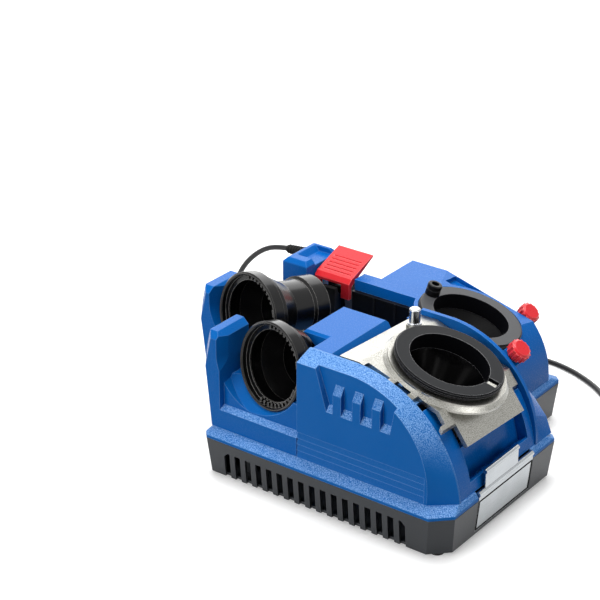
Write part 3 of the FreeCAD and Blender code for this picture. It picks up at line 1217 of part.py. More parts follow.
def make_latch_bracket():
    """Black bracket with a tongue in front and two lugs for the pin."""
    middle = (LATCH_LEFT + LATCH_RIGHT) / 2
    inner = LATCH_EAR_HALF + SEAT
    outer = inner + LUG_THICK
    lug_z = LATCH_PIN_Z - LATCH_EAR_RADIUS - OVER
    body = span((middle - outer, middle + outer), (FAR_DECK_FRONT, BRACKET_BACK), (DECK_Z, lug_z))
    half = TONGUE_WIDTH / 2
    tongue = prism_yz([
        (TONGUE_FRONT, TONGUE_BOTTOM), (TONGUE_FRONT, TONGUE_TOP - OVER), (TONGUE_FRONT + OVER, TONGUE_TOP),
        (LATCH_FRONT, TONGUE_TOP), (FAR_DECK_FRONT, lug_z), (FAR_DECK_FRONT, TONGUE_BOTTOM - LUG_THICK),
    ], middle - half, middle + half)
    sweep = V(0, LATCH_PIN_Y - LATCH_FRONT, LATCH_KNEE_Z - LATCH_PIN_Z).Length + GAP
    relief = rod(sweep, V(middle - outer, LATCH_PIN_Y, LATCH_PIN_Z), V(middle + outer, LATCH_PIN_Y, LATCH_PIN_Z))
    lugs = []
    for start in (middle - outer, middle + inner):
        lug = span((start, start + LUG_THICK), (FAR_DECK_FRONT, LATCH_PIN_Y + LATCH_EAR_RADIUS),
                   (lug_z - OVER, LATCH_PIN_Z))
        lugs.append(lug)
        lugs.append(rod(LATCH_EAR_RADIUS - OVER, V(start, LATCH_PIN_Y, LATCH_PIN_Z),
                        V(start + LUG_THICK, LATCH_PIN_Y, LATCH_PIN_Z)))
    hole = rod(LATCH_PIN_RADIUS, V(middle - outer - OVER, LATCH_PIN_Y, LATCH_PIN_Z),
               V(middle + outer + OVER, LATCH_PIN_Y, LATCH_PIN_Z))
    return cut(body.fuse([tongue.cut(relief)] + lugs), hole)


def make_latch_pin():
    """Steel pin through the lugs and the ear."""
    middle = (LATCH_LEFT + LATCH_RIGHT) / 2
    half = LATCH_EAR_HALF + SEAT + LUG_THICK
    return rod(LATCH_PIN_RADIUS, V(middle - half, LATCH_PIN_Y, LATCH_PIN_Z),
               V(middle + half, LATCH_PIN_Y, LATCH_PIN_Z))


# Knobs

def make_knob():
    """Ribbed knob with a blind bore for its stud."""
    body = turned([
        (0, SEAT), (KNOB_NECK, SEAT), (KNOB_NECK, KNOB_NECK_RISE), (KNOB_RADIUS, KNOB_NECK_RISE + OVER),
        (KNOB_RADIUS, KNOB_HEIGHT - 2 * OVER), (KNOB_RADIUS - 2 * OVER, KNOB_HEIGHT), (0, KNOB_HEIGHT),
    ])
    rib = Part.makeCylinder(KNOB_RIB, KNOB_HEIGHT - KNOB_NECK_RISE - 3 * OVER,
                            V(KNOB_RADIUS - KNOB_RIB / 4, 0, KNOB_NECK_RISE + OVER))
    bore = Part.makeCylinder(STUD_RADIUS + RUN, KNOB_BORE_DEPTH)
    return cut(body.fuse(around(rib, KNOB_RIBS)), bore)


def make_knob_stud():
    """Steel stud that the knob turns on."""
    length = STUD_ROOT + KNOB_BORE_DEPTH - SEAT
    return Part.makeCylinder(STUD_RADIUS, length, V(0, 0, -STUD_ROOT))


# Dust drawer

def make_dust_drawer():
    """Open tray that slides under the near wheel."""
    right = NEAR_RIGHT - BASE_DRAFT - DRAWER_FACE
    floor = BASE_FLOOR + SEAT
    outer = span((DRAWER_LEFT, right), (DRAWER_FRONT_Y, DRAWER_BACK_Y), (floor, floor + DRAWER_DEPTH))
    inner = span((DRAWER_LEFT + DRAWER_WALL, right - DRAWER_WALL),
                 (DRAWER_FRONT_Y + DRAWER_WALL, DRAWER_BACK_Y - DRAWER_WALL),
                 (floor + DRAWER_WALL, floor + DRAWER_DEPTH + OVER))
    return outer.cut(inner)


def make_drawer_front():
    """Bright steel front that follows the draft of the base, with a rolled top lip."""
    foot = NEAR_RIGHT - BASE_DRAFT
    z0 = BASE_FLOOR + SEAT
    plate = prism_xz([
        (foot - DRAWER_FACE, z0), (foot, z0), (NEAR_RIGHT, BASE_HEIGHT), (NEAR_RIGHT, DRAWER_TOP - OVER),
        (NEAR_RIGHT - OVER, DRAWER_TOP), (NEAR_RIGHT - DRAWER_FACE, DRAWER_TOP),
        (NEAR_RIGHT - DRAWER_FACE, BASE_HEIGHT),
    ], DRAWER_FRONT_Y, DRAWER_BACK_Y)
    lip_x = NEAR_RIGHT - DRAWER_FACE / 2
    lip_z = DRAWER_TOP - DRAWER_FACE
    lip = rod(DRAWER_FACE, V(lip_x, DRAWER_FRONT_Y, lip_z), V(lip_x, DRAWER_BACK_Y, lip_z))
    return fused(plate, lip)


def make_drawer_tab():
    """Finger tab with a rolled top edge that stands on the drawer front."""
    x = NEAR_RIGHT - DRAWER_FACE + OVER
    hem_x = x + OVER / 2
    hem_z = TAB_TOP - TAB_HEM
    plate = span((x, x + TAB_THICK), (TAB_FRONT, TAB_BACK), (DRAWER_TOP, hem_z))
    hem = rod(TAB_HEM, V(hem_x, TAB_FRONT, hem_z), V(hem_x, TAB_BACK, hem_z))
    return fused(plate, hem)


# Motor and wheels, drawn about their own axis and then laid along Y

def along_shaft(shape, y):
    """Lay a shape that was drawn about Z on the shaft line, with its base at y."""
    turn = FreeCAD.Rotation(V(1, 0, 0), -90)
    return placed(shape, FreeCAD.Placement(V(SHAFT_X, y, SHAFT_Z), turn))


MOTOR_LENGTH = MOTOR_BACK - MOTOR_FRONT
CAN_LENGTH = MOTOR_LENGTH - 2 * BELL_DEPTH


def make_motor_can():
    """Steel tube of the motor."""
    can = turned([
        (MOTOR_RADIUS - MOTOR_WALL, 0), (MOTOR_RADIUS, 0), (MOTOR_RADIUS, CAN_LENGTH),
        (MOTOR_RADIUS - MOTOR_WALL, CAN_LENGTH),
    ])
    return along_shaft(can, MOTOR_FRONT + BELL_DEPTH)


def make_motor_bell():
    """Cast end bell with a bearing seat and air openings, plate side down."""
    inside = MOTOR_RADIUS - MOTOR_WALL
    bell = turned([
        (SHAFT_RADIUS + OVER, 0), (MOTOR_RADIUS, 0), (MOTOR_RADIUS, BELL_DEPTH), (inside, BELL_DEPTH),
        (inside, BELL_PLATE), (BEARING_RADIUS + MOTOR_WALL, BELL_PLATE), (BEARING_RADIUS + MOTOR_WALL, BELL_DEPTH),
        (BEARING_RADIUS, BELL_DEPTH), (BEARING_RADIUS, BELL_PLATE), (SHAFT_RADIUS + OVER, BELL_PLATE),
    ])
    window = span((BEARING_RADIUS + 2 * MOTOR_WALL, inside - MOTOR_WALL), (-BEARING_WIDTH / 2, BEARING_WIDTH / 2),
                  (-OVER, BELL_PLATE + OVER))
    return cut(bell, *around(window, BELL_WINDOWS))


def make_motor_bells():
    """Front and rear end bells, each facing into the can."""
    front = along_shaft(make_motor_bell(), MOTOR_FRONT)
    rear = make_motor_bell()
    rear.rotate(V(0, 0, 0), V(1, 0, 0), 180)
    return front, along_shaft(rear, MOTOR_BACK)


def make_motor_bearings():
    """Two ball bearings, drawn as closed rings in the bells."""
    ring = turned([
        (SHAFT_RADIUS + RUN, 0), (BEARING_RADIUS, 0), (BEARING_RADIUS, BEARING_WIDTH),
        (SHAFT_RADIUS + RUN, BEARING_WIDTH),
    ])
    front = along_shaft(ring, MOTOR_FRONT + BELL_PLATE)
    rear = along_shaft(ring, MOTOR_BACK - BELL_PLATE - BEARING_WIDTH)
    return Part.makeCompound([front, rear])


def make_motor_brushes():
    """Two brush holders on the rear bell, either side of the shaft."""
    start = SHAFT_RADIUS + 2 * CHUCK_WALL + BRUSH_SIZE
    holder = span((start, start + BRUSH_LENGTH), (-BRUSH_SIZE / 2, BRUSH_SIZE / 2), (0, BRUSH_SIZE))
    pair = Part.makeCompound(around(holder, 2))
    return along_shaft(pair, MOTOR_BACK - BELL_PLATE - BRUSH_SIZE)


def make_armature():
    """Slotted rotor pack."""
    pack = turned([
        (SHAFT_RADIUS, 0), (ARMATURE_RADIUS, 0), (ARMATURE_RADIUS, ARMATURE_LENGTH),
        (SHAFT_RADIUS, ARMATURE_LENGTH),
    ])
    slot = span((ARMATURE_RADIUS - 2 * ARMATURE_SLOT, ARMATURE_RADIUS + OVER),
                (-ARMATURE_SLOT / 2, ARMATURE_SLOT / 2), (-OVER, ARMATURE_LENGTH + OVER))
    start = MOTOR_FRONT + BELL_DEPTH + FAN_WIDTH + 2 * OVER
    return along_shaft(cut(pack, *around(slot, ARMATURE_SLOTS)), start)


def make_motor_fan():
    """Cooling fan between the front bell and the rotor pack."""
    hub = turned([(SHAFT_RADIUS, 0), (FAN_HUB, 0), (FAN_HUB, FAN_WIDTH), (SHAFT_RADIUS, FAN_WIDTH)])
    blade = span((FAN_HUB - OVER, FAN_RADIUS), (-FAN_BLADE / 2, FAN_BLADE / 2), (0, FAN_WIDTH))
    return along_shaft(fused(hub, *around(blade, FAN_BLADES)), MOTOR_FRONT + BELL_DEPTH + OVER)


def make_motor_shaft():
    """Shaft that carries a wheel at each end."""
    start = NEAR_WHEEL_Y - NUT_WIDTH
    end = FAR_WHEEL_Y + WHEEL_WIDTH + NUT_WIDTH
    return along_shaft(Part.makeCylinder(SHAFT_RADIUS, end - start), start)


def make_wheel(radius, y):
    """Grinding wheel with recessed sides."""
    rim = radius - WHEEL_RECESS
    web = radius - 2 * WHEEL_RECESS
    wheel = turned([
        (SHAFT_RADIUS, 0), (WHEEL_HUB, 0), (WHEEL_HUB, WHEEL_RECESS), (web, WHEEL_RECESS), (rim, 0),
        (radius, 0), (radius, WHEEL_WIDTH), (rim, WHEEL_WIDTH), (web, WHEEL_WIDTH - WHEEL_RECESS),
        (WHEEL_HUB, WHEEL_WIDTH - WHEEL_RECESS), (WHEEL_HUB, WHEEL_WIDTH), (SHAFT_RADIUS, WHEEL_WIDTH),
    ])
    return along_shaft(wheel, y)


def make_wheel_nuts():
    """Hexagon nuts that hold the wheels."""
    corners = [(NUT_RADIUS * cos(index * pi / 3), NUT_RADIUS * sin(index * pi / 3)) for index in range(6)]
    nut = prism_xy(corners, 0, NUT_WIDTH).cut(Part.makeCylinder(SHAFT_RADIUS, NUT_WIDTH))
    near = along_shaft(nut, NEAR_WHEEL_Y - NUT_WIDTH)
    far = along_shaft(nut, FAR_WHEEL_Y + WHEEL_WIDTH)
    return Part.makeCompound([near, far])


def make_motor_saddle():
    """Saddle on the floor of the base that carries the motor."""
    block = span((SHAFT_X - SADDLE_HALF, SHAFT_X + SADDLE_HALF), (SADDLE_FRONT, SADDLE_BACK),
                 (BASE_FLOOR, SHAFT_Z - MOTOR_RADIUS / 2))
    return block.cut(rod(MOTOR_RADIUS, V(SHAFT_X, SADDLE_FRONT - OVER, SHAFT_Z),
                         V(SHAFT_X, SADDLE_BACK + OVER, SHAFT_Z)))


# Rocker switch

def make_switch_frame():
    """Switch body behind a rim on the back wall."""
    half_w, half_h = SWITCH_WIDTH / 2, SWITCH_HEIGHT / 2
    wall = FAR_DECK_BACK
    body = span((SWITCH_X - half_w + GAP, SWITCH_X + half_w - GAP), (wall - SWITCH_DEPTH, wall),
                (SWITCH_Z - half_h + GAP, SWITCH_Z + half_h - GAP))
    rim = span((SWITCH_X - half_w - SWITCH_RIM, SWITCH_X + half_w + SWITCH_RIM), (wall, wall + SWITCH_FLANGE),
               (SWITCH_Z - half_h - SWITCH_RIM, SWITCH_Z + half_h + SWITCH_RIM))
    window = span((SWITCH_X - half_w + SWITCH_RIM, SWITCH_X + half_w - SWITCH_RIM),
                  (wall - SWITCH_DEPTH / 2, wall + SWITCH_FLANGE + OVER),
                  (SWITCH_Z - half_h + SWITCH_RIM, SWITCH_Z + half_h - SWITCH_RIM))
    axle = rod(ROCKER_AXLE, V(SWITCH_X - half_w + OVER, wall, SWITCH_Z), V(SWITCH_X + half_w - OVER, wall, SWITCH_Z))
    return cut(fused(body, rim), window, axle)


def make_switch_rocker():
    """Rocker with a hollowed V face, at rest in its middle place."""
    half_w = SWITCH_WIDTH / 2 - SWITCH_RIM - SEAT
    half_h = SWITCH_HEIGHT / 2 - SWITCH_RIM - 3 * SEAT
    face = FAR_DECK_BACK + SWITCH_FLANGE
    swing = half_h * tan(radians(ROCKER_TILT))
    rocker = prism_yz([
        (FAR_DECK_BACK - 2 * ROCKER_AXLE, SWITCH_Z), (FAR_DECK_BACK - ROCKER_AXLE + SEAT, SWITCH_Z - half_h),
        (face + swing, SWITCH_Z - half_h), (face, SWITCH_Z), (face + swing, SWITCH_Z + half_h),
        (FAR_DECK_BACK - ROCKER_AXLE + SEAT, SWITCH_Z + half_h),
    ], SWITCH_X - half_w, SWITCH_X + half_w)
    axle = rod(ROCKER_AXLE - RUN, V(SWITCH_X - SWITCH_WIDTH / 2 + 2 * OVER, FAR_DECK_BACK, SWITCH_Z),
               V(SWITCH_X + SWITCH_WIDTH / 2 - 2 * OVER, FAR_DECK_BACK, SWITCH_Z))
    return fused(rocker, axle)


# Mains cord

def make_cord_gland():
    """Tapered strain relief on the left face of the far block."""
    gland = turned([
        (CORD_RADIUS, 0), (GLAND_FLANGE, 0), (GLAND_FLANGE, GLAND_FLANGE_THICK),
        (GLAND_RADIUS, GLAND_FLANGE_THICK), (GLAND_TIP, GLAND_LENGTH), (CORD_RADIUS, GLAND_LENGTH),
    ])
    turn = FreeCAD.Rotation(V(0, 1, 0), -90)
    return placed(gland, FreeCAD.Placement(V(FAR_BLOCK_LEFT, GLAND_Y, GLAND_Z), turn))


def rounded_path(points):
    """Straight runs joined by tangent arcs as large as the runs allow, with the least radius."""
    edges = []
    radii = []
    start = points[0]
    for index in range(1, len(points) - 1):
        here = points[index]
        back = points[index - 1] - here
        ahead = points[index + 1] - here
        shorter = min(back.Length, ahead.Length)
        turn = pi - back.getAngle(ahead)
        trim = CORD_BEND * shorter
        radius = trim / tan(turn / 2)
        back.normalize()
        ahead.normalize()
        first = here + back * trim
        last = here + ahead * trim
        inward = (back + ahead).normalize()
        middle = here + inward * (radius / cos(turn / 2) - radius)
        edges.append(Part.LineSegment(start, first).toShape())
        edges.append(Part.Arc(first, middle, last).toShape())
        radii.append(radius)
        start = last
    edges.append(Part.LineSegment(start, points[-1]).toShape())
    return Part.Wire(edges), min(radii)


def piped(path, start, along):
    """Round tube of the cord's section on a path."""
    ring = Part.Wire(Part.Circle(start, along, CORD_RADIUS).toShape())
    return path.makePipeShell([ring], True, False)


def coil_point(turn):
    """Centre of the cord in the coil after a number of turns: in along the floor, up, out again."""
    inner = COIL_OUT - COIL_TURNS * COIL_PITCH
    low = FLOOR_Z + CORD_RADIUS
    if turn <= COIL_TURNS:
        radius = COIL_OUT - COIL_PITCH * turn
        height = low
    elif turn <= COIL_TURNS + COIL_CLIMB:
        share = (turn - COIL_TURNS) / COIL_CLIMB
        radius = inner
        height = low + COIL_RISE * (1 - cos(pi * share)) / 2
    else:
        radius = inner + COIL_PITCH * (turn - COIL_TURNS - COIL_CLIMB)
        height = low + COIL_RISE
    angle = radians(COIL_START) + 2 * pi * turn
    return V(COIL_X + radius * cos(angle), COIL_Y + radius * sin(angle), height)


def coil_tangent(turn):
    """Direction of the cord in the coil."""
    step = 0.01
    return (coil_point(turn + step) - coil_point(turn - step)).normalize()


def coil_start():
    """Where the free cord meets the coil."""
    return coil_point(0) - coil_tangent(0) * COIL_LEAD


def coil_finish():
    """Where the coil meets the plug."""
    return coil_point(COIL_END) + coil_tangent(COIL_END) * COIL_TAIL


def biarc(p0, t0, p1, t1):
    """Two tangent arcs from one point and direction to another."""
    v = p1 - p0
    both = t0 + t1
    a = 2 * (1 - t0.dot(t1))
    b = 2 * v.dot(both)
    d = (sqrt(b * b + 4 * a * v.dot(v)) - b) / (2 * a)
    q0 = p0 + t0 * d
    q1 = p1 - t1 * d
    joint = (q0 + q1) * 0.5
    arcs = []
    for start, corner, end in ((p0, q0, joint), (joint, q1, p1)):
        chord = (start + end) * 0.5
        half = (end - start).Length / 2
        out = corner - chord
        sagitta = half * tan(atan2(out.Length, half) / 2)
        arcs.append(Part.Arc(start, chord + out.normalize() * sagitta, end).toShape())
    return arcs


COIL_END = 2 * COIL_TURNS + COIL_CLIMB
COIL_QUARTERS = int(ceil(4 * COIL_END))


def make_cord_coil():
    """Spare cord wound in two layers, one unbroken tube."""
    stations = [COIL_END * index / COIL_QUARTERS for index in range(COIL_QUARTERS + 1)]
    edges = [Part.LineSegment(coil_start(), coil_point(0)).toShape()]
    for first, last in zip(stations, stations[1:]):
        edges += biarc(coil_point(first), coil_tangent(first), coil_point(last), coil_tangent(last))
    edges.append(Part.LineSegment(coil_point(COIL_END), coil_finish()).toShape())
    path = Part.Wire(edges)
    return piped(path, coil_start(), coil_tangent(0)), path.Length


def coil_self_gap():
    """Least clear distance between neighbouring turns of the coil."""
    steps = 48
    points = [coil_point(index / steps) for index in range(int(COIL_END * steps) + 1)]
    gaps = []
    for i, p in enumerate(points):
        for q in points[i + steps // 2:]:
            gaps.append((p - q).Length)
    return min(gaps) - 2 * CORD_RADIUS


def cord_points():
    """Route of the free cord, from the gland's tip to the start of the coil."""
    tip = V(FAR_BLOCK_LEFT - GLAND_LENGTH, GLAND_Y, GLAND_Z)
    start = coil_start()
    approach = start - coil_tangent(0) * 3 * COIL_LEAD
    return [tip] + [V(*point) for point in CORD_ROUTE] + [approach, start]


def make_mains_cord():
    """Free stretch of the cord, hanging behind the machine and lying on the floor."""
    points = cord_points()
    path, tightest = rounded_path(points)
    tube = piped(path, points[0], points[1] - points[0])
    expected = pi * CORD_RADIUS ** 2 * path.Length
    print("cord length", round(path.Length, 1), "least radius", round(tightest, 1),
          "volume ratio", round(tube.Volume / expected, 4))
    return tube, path.Length


def plug_frame():
    """Frame of the plug: Z from the cord towards the pins."""
    return tilted_frame(coil_finish(), coil_tangent(COIL_END), (V(1, 0, 0), V(0, 0, 1)), "ZYX")


def make_mains_plug():
    """Moulded plug with a tapered nose on the cord and two flat pins."""
    nose = turned([
        (0, 0), (PLUG_NOSE_RADIUS, 0), (PLUG_HEIGHT / 2 - OVER, PLUG_NOSE), (0, PLUG_NOSE),
    ])
    half_w, half_h = PLUG_WIDTH / 2, PLUG_HEIGHT / 2
    body = span((-half_w, half_w), (-half_h, half_h), (PLUG_NOSE, PLUG_NOSE + PLUG_LENGTH))
    uprights = [edge for edge in body.Edges
                if abs(edge.Vertexes[0].Z - edge.Vertexes[1].Z) > PLUG_LENGTH - RUN]
    body = body.makeFillet(PLUG_HEIGHT / 4, uprights)
    end = PLUG_NOSE + PLUG_LENGTH
    pins = []
    for side in (-PLUG_PIN_SPREAD / 2, PLUG_PIN_SPREAD / 2):
        pins.append(span((side - PLUG_PIN_THICK / 2, side + PLUG_PIN_THICK / 2),
                         (-PLUG_PIN_HEIGHT / 2, PLUG_PIN_HEIGHT / 2), (end - OVER, end + PLUG_PIN_LENGTH)))
    return placed(fused(nose, body, *pins), plug_frame())


def make_cord_tie():
    """Band round the coil's turns on one side."""
    inner = COIL_OUT - COIL_TURNS * COIL_PITCH - CORD_RADIUS - SEAT
    outer = COIL_OUT + CORD_RADIUS + SEAT
    low = FLOOR_Z
    high = FLOOR_Z + 2 * CORD_RADIUS + COIL_RISE + SEAT
    half = TIE_WIDTH / 2
    band = span((inner - TIE_THICK, outer + TIE_THICK), (-half, half), (low, high + TIE_THICK))
    band = band.cut(span((inner, outer), (-half - OVER, half + OVER), (low - OVER, high)))
    band.rotate(V(0, 0, 0), V(0, 0, 1), COIL_START - 180)
    band.translate(V(COIL_X, COIL_Y, 0))
    return band


# Assembly

def near_station():
    """Covers, cradle and port of the near station."""
    return {
        "near_side_cover": make_near_side_cover(),
        "near_top_block": make_near_top_block(),
        "centre_wall": make_centre_wall(),
        "near_end_cover": make_near_end_cover(),
        "end_buttress": make_end_buttress(),
        "near_cradle": make_cradle(NEAR_LEFT + END_RUN, COVER_LEFT - GAP, COVER_FACE, NEAR_LEAN, NEAR_CHUCK_FRAME),
        "near_port_plate": make_port_plate(),
        "near_port_ring": placed(make_port_ring(True), NEAR_PORT_FRAME),
        "near_ring_key": placed(make_ring_key(), NEAR_PORT_FRAME),
        "near_port_cup": placed(make_port_cup(NEAR_CUP_DEPTH), NEAR_PORT_FRAME),
        "near_stop_pin": make_stop_pin(),
        "near_knob": placed(make_knob(), NEAR_KNOB_FRAME),
        "near_knob_stud": placed(make_knob_stud(), NEAR_KNOB_FRAME),
    }


def far_station():
    """Covers, cradle, port and latch of the far station."""
    return {
        "far_deck": make_far_deck(),
        "far_cradle": make_cradle(FAR_CRADLE_LEFT, FAR_CRADLE_LEFT + FAR_CRADLE_WIDTH, FAR_FRONT + END_RUN,
                                  FAR_LEAN, FAR_CHUCK_FRAME),
        "far_block": make_far_block(),
        "far_block_foot": make_far_block_foot(),
        "far_inner_panel": make_far_inner_panel(),
        "far_port_ring": placed(make_port_ring(False), FAR_PORT_FRAME),
        "far_port_cup": placed(make_port_cup(FAR_CUP_DEPTH), FAR_PORT_FRAME),
        "far_guide_post": placed(make_guide_post(), FAR_PORT_FRAME),
        "latch_lever": make_latch_lever(),
        "latch_bracket": make_latch_bracket(),
        "latch_pin": make_latch_pin(),
        "far_knob": placed(make_knob(), FAR_KNOB_FRAME),
        "far_knob_stud": placed(make_knob_stud(), FAR_KNOB_FRAME),
    }


def drill_chucks():
    """The two chucks in their cradles."""
    pieces = {}
    for name, frame in (("near", NEAR_CHUCK_FRAME), ("far", FAR_CHUCK_FRAME)):
        pieces[name + "_chuck_sleeve"] = placed(make_chuck_sleeve(), frame)
        pieces[name + "_chuck_ring"] = placed(make_chuck_ring(), frame)
        pieces[name + "_chuck_jaws"] = placed(make_chuck_jaws(), frame)
    return pieces


def drive():
    """Motor, shaft and wheels."""
    front_bell, rear_bell = make_motor_bells()
    return {
        "motor_can": make_motor_can(),
        "motor_front_bell": front_bell,
        "motor_rear_bell": rear_bell,
        "motor_bearings": make_motor_bearings(),
        "motor_brushes": make_motor_brushes(),
        "motor_saddle": make_motor_saddle(),
        "motor_shaft": make_motor_shaft(),
        "motor_armature": make_armature(),
        "motor_fan": make_motor_fan(),
        "near_grinding_wheel": make_wheel(NEAR_WHEEL_RADIUS, NEAR_WHEEL_Y),
        "far_grinding_wheel": make_wheel(FAR_WHEEL_RADIUS, FAR_WHEEL_Y),
        "wheel_nuts": make_wheel_nuts(),
    }


def machine():
    """Every piece of the machine but the cord."""
    pieces = {
        "base_tray": make_base_tray(),
        "base_feet": make_base_feet(),
        "housing_screws": make_housing_screws(),
        "lower_housing": make_lower_housing(),
        "dust_drawer": make_dust_drawer(),
        "drawer_front": make_drawer_front(),
        "drawer_tab": make_drawer_tab(),
        "switch_frame": make_switch_frame(),
        "switch_rocker": make_switch_rocker(),
        "cord_gland": make_cord_gland(),
    }
    for group in (near_station(), far_station(), drill_chucks(), drive()):
        pieces.update(group)
    return pieces


def cord():
    """The free cord, its coil, tie and plug."""
    tube, tube_length = make_mains_cord()
    coil, coil_length = make_cord_coil()
    print("coil length", round(coil_length, 1), "least gap between turns", round(coil_self_gap(), 2),
          "cord in all", round(tube_length + coil_length, 1))
    return {
        "mains_cord": tube,
        "cord_coil": coil,
        "cord_tie": make_cord_tie(),
        "mains_plug": make_mains_plug(),
    }


def main():
    """Make every piece, move the origin to the bottom centre and write the files."""
    pieces = machine()
    box = FreeCAD.BoundBox()
    for shape in pieces.values():
        box.add(shape.optimalBoundingBox(False, False))
    shift = V(-(box.XMin + box.XMax) / 2, -(box.YMin + box.YMax) / 2, -box.ZMin)
    print("size", round(box.XLength, 2), round(box.YLength, 2), round(box.ZLength, 2),
          "shift", round(shift.x, 3), round(shift.y, 3), round(shift.z, 3))
    pieces.update(cord())
    os.makedirs("parts", exist_ok=True)
    for name, shape in pieces.items():
        shape.translate(shift)
        shape.exportStep("parts/" + name + ".step")


main()
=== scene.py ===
"""Drill bit sharpener with two stations: finishes, cord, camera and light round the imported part.

Places and sizes of the added pieces, the cord's route and the camera's place are in millimetres from a
datum under the middle of the near station, so that they read like the part's own sizes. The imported
record's mount gives that datum. Widths of rounded edges, the cord's radius and length, the finishes and
the rest of the studio are in metres.
"""

from __future__ import annotations

import json
import logging
import math
from abc import ABC, abstractmethod
from collections.abc import Iterable
from dataclasses import dataclass
from enum import Enum

import bmesh
import bpy
from mathutils import Matrix, Vector

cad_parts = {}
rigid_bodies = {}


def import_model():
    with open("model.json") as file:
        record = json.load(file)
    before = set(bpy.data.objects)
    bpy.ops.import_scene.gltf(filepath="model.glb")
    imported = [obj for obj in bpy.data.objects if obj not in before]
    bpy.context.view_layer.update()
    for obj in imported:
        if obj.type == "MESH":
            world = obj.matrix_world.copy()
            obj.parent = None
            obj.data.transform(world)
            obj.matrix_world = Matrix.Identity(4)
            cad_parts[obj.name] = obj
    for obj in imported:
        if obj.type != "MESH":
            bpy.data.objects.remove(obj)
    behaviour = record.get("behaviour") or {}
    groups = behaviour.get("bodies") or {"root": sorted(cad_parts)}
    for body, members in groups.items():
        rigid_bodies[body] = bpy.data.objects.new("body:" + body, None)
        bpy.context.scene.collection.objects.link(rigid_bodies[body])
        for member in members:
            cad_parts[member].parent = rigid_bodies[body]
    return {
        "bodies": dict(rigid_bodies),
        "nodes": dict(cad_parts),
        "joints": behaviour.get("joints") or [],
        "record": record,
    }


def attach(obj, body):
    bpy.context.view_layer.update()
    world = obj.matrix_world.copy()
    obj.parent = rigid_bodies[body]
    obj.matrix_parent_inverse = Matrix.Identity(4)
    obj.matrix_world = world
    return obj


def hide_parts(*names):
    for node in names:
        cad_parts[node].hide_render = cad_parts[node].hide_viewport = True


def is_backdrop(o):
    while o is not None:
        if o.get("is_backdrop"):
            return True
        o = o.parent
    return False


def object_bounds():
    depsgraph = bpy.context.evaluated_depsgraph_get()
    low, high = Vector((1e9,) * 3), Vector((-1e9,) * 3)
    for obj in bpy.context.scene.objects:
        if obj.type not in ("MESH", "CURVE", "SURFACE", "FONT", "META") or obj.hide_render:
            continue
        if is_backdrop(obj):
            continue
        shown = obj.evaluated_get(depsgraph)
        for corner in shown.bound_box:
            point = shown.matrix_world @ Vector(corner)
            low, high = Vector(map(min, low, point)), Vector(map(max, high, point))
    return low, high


LOG = logging.getLogger("sharpener")
MM = 0.001
UPRIGHT = Vector((0.0, 0.0, 1.0))
# Place of the rest mount, from the datum.
REST_FOOT = Vector((0.139, -0.094, -0.004))
# Points closer than this are one point: on a node in metres, on a draft in millimetres.
NODE_WELD = 0.00001
DRAFT_WELD = 0.0005
# Angles in degrees: faces that are taken as one, and edges that are rounded on a node and on a draft.
FLAT_ANGLE = 0.5
NODE_ANGLE = 28.0
DRAFT_ANGLE = 30.0
# Facets across a rounded edge.
ROUND_FACETS = 2
# Nodes whose narrow grooves need all their facets.
GROOVED = frozenset({"latch_lever"})

Pair = tuple[float, float]
Triple = tuple[float, float, float]
Colour = tuple[float, float, float, float]


def linear(red: int, green: int, blue: int) -> Colour:
    """Turn a display colour into the linear one that shaders take.

    Args:
        red: Red from 0 to 255.
        green: Green from 0 to 255.
        blue: Blue from 0 to 255.

    Returns:
        Linear red, green, blue and an alpha of 1.
    """
    full, knee, toe, offset, gamma = 255.0, 0.04045, 12.92, 0.055, 2.4
    channels = []
    for value in (red, green, blue):
        share = value / full
        channels.append(share / toe if share <= knee else ((share + offset) / (1.0 + offset)) ** gamma)
    return channels[0], channels[1], channels[2], 1.0


def leaning(tilt: float, roll: float) -> Triple:
    """Return an upright direction after a tilt towards +X and a roll towards +Y, both in degrees."""
    lean, side = math.radians(tilt), math.radians(roll)
    return math.sin(lean) * math.cos(side), math.sin(side), math.cos(lean) * math.cos(side)


def stand(name: str, data: bpy.types.ID) -> bpy.types.Object:
    """Make an object of some data, link it to the scene and return it."""
    piece = bpy.data.objects.new(name, data)
    bpy.context.scene.collection.objects.link(piece)
    return piece


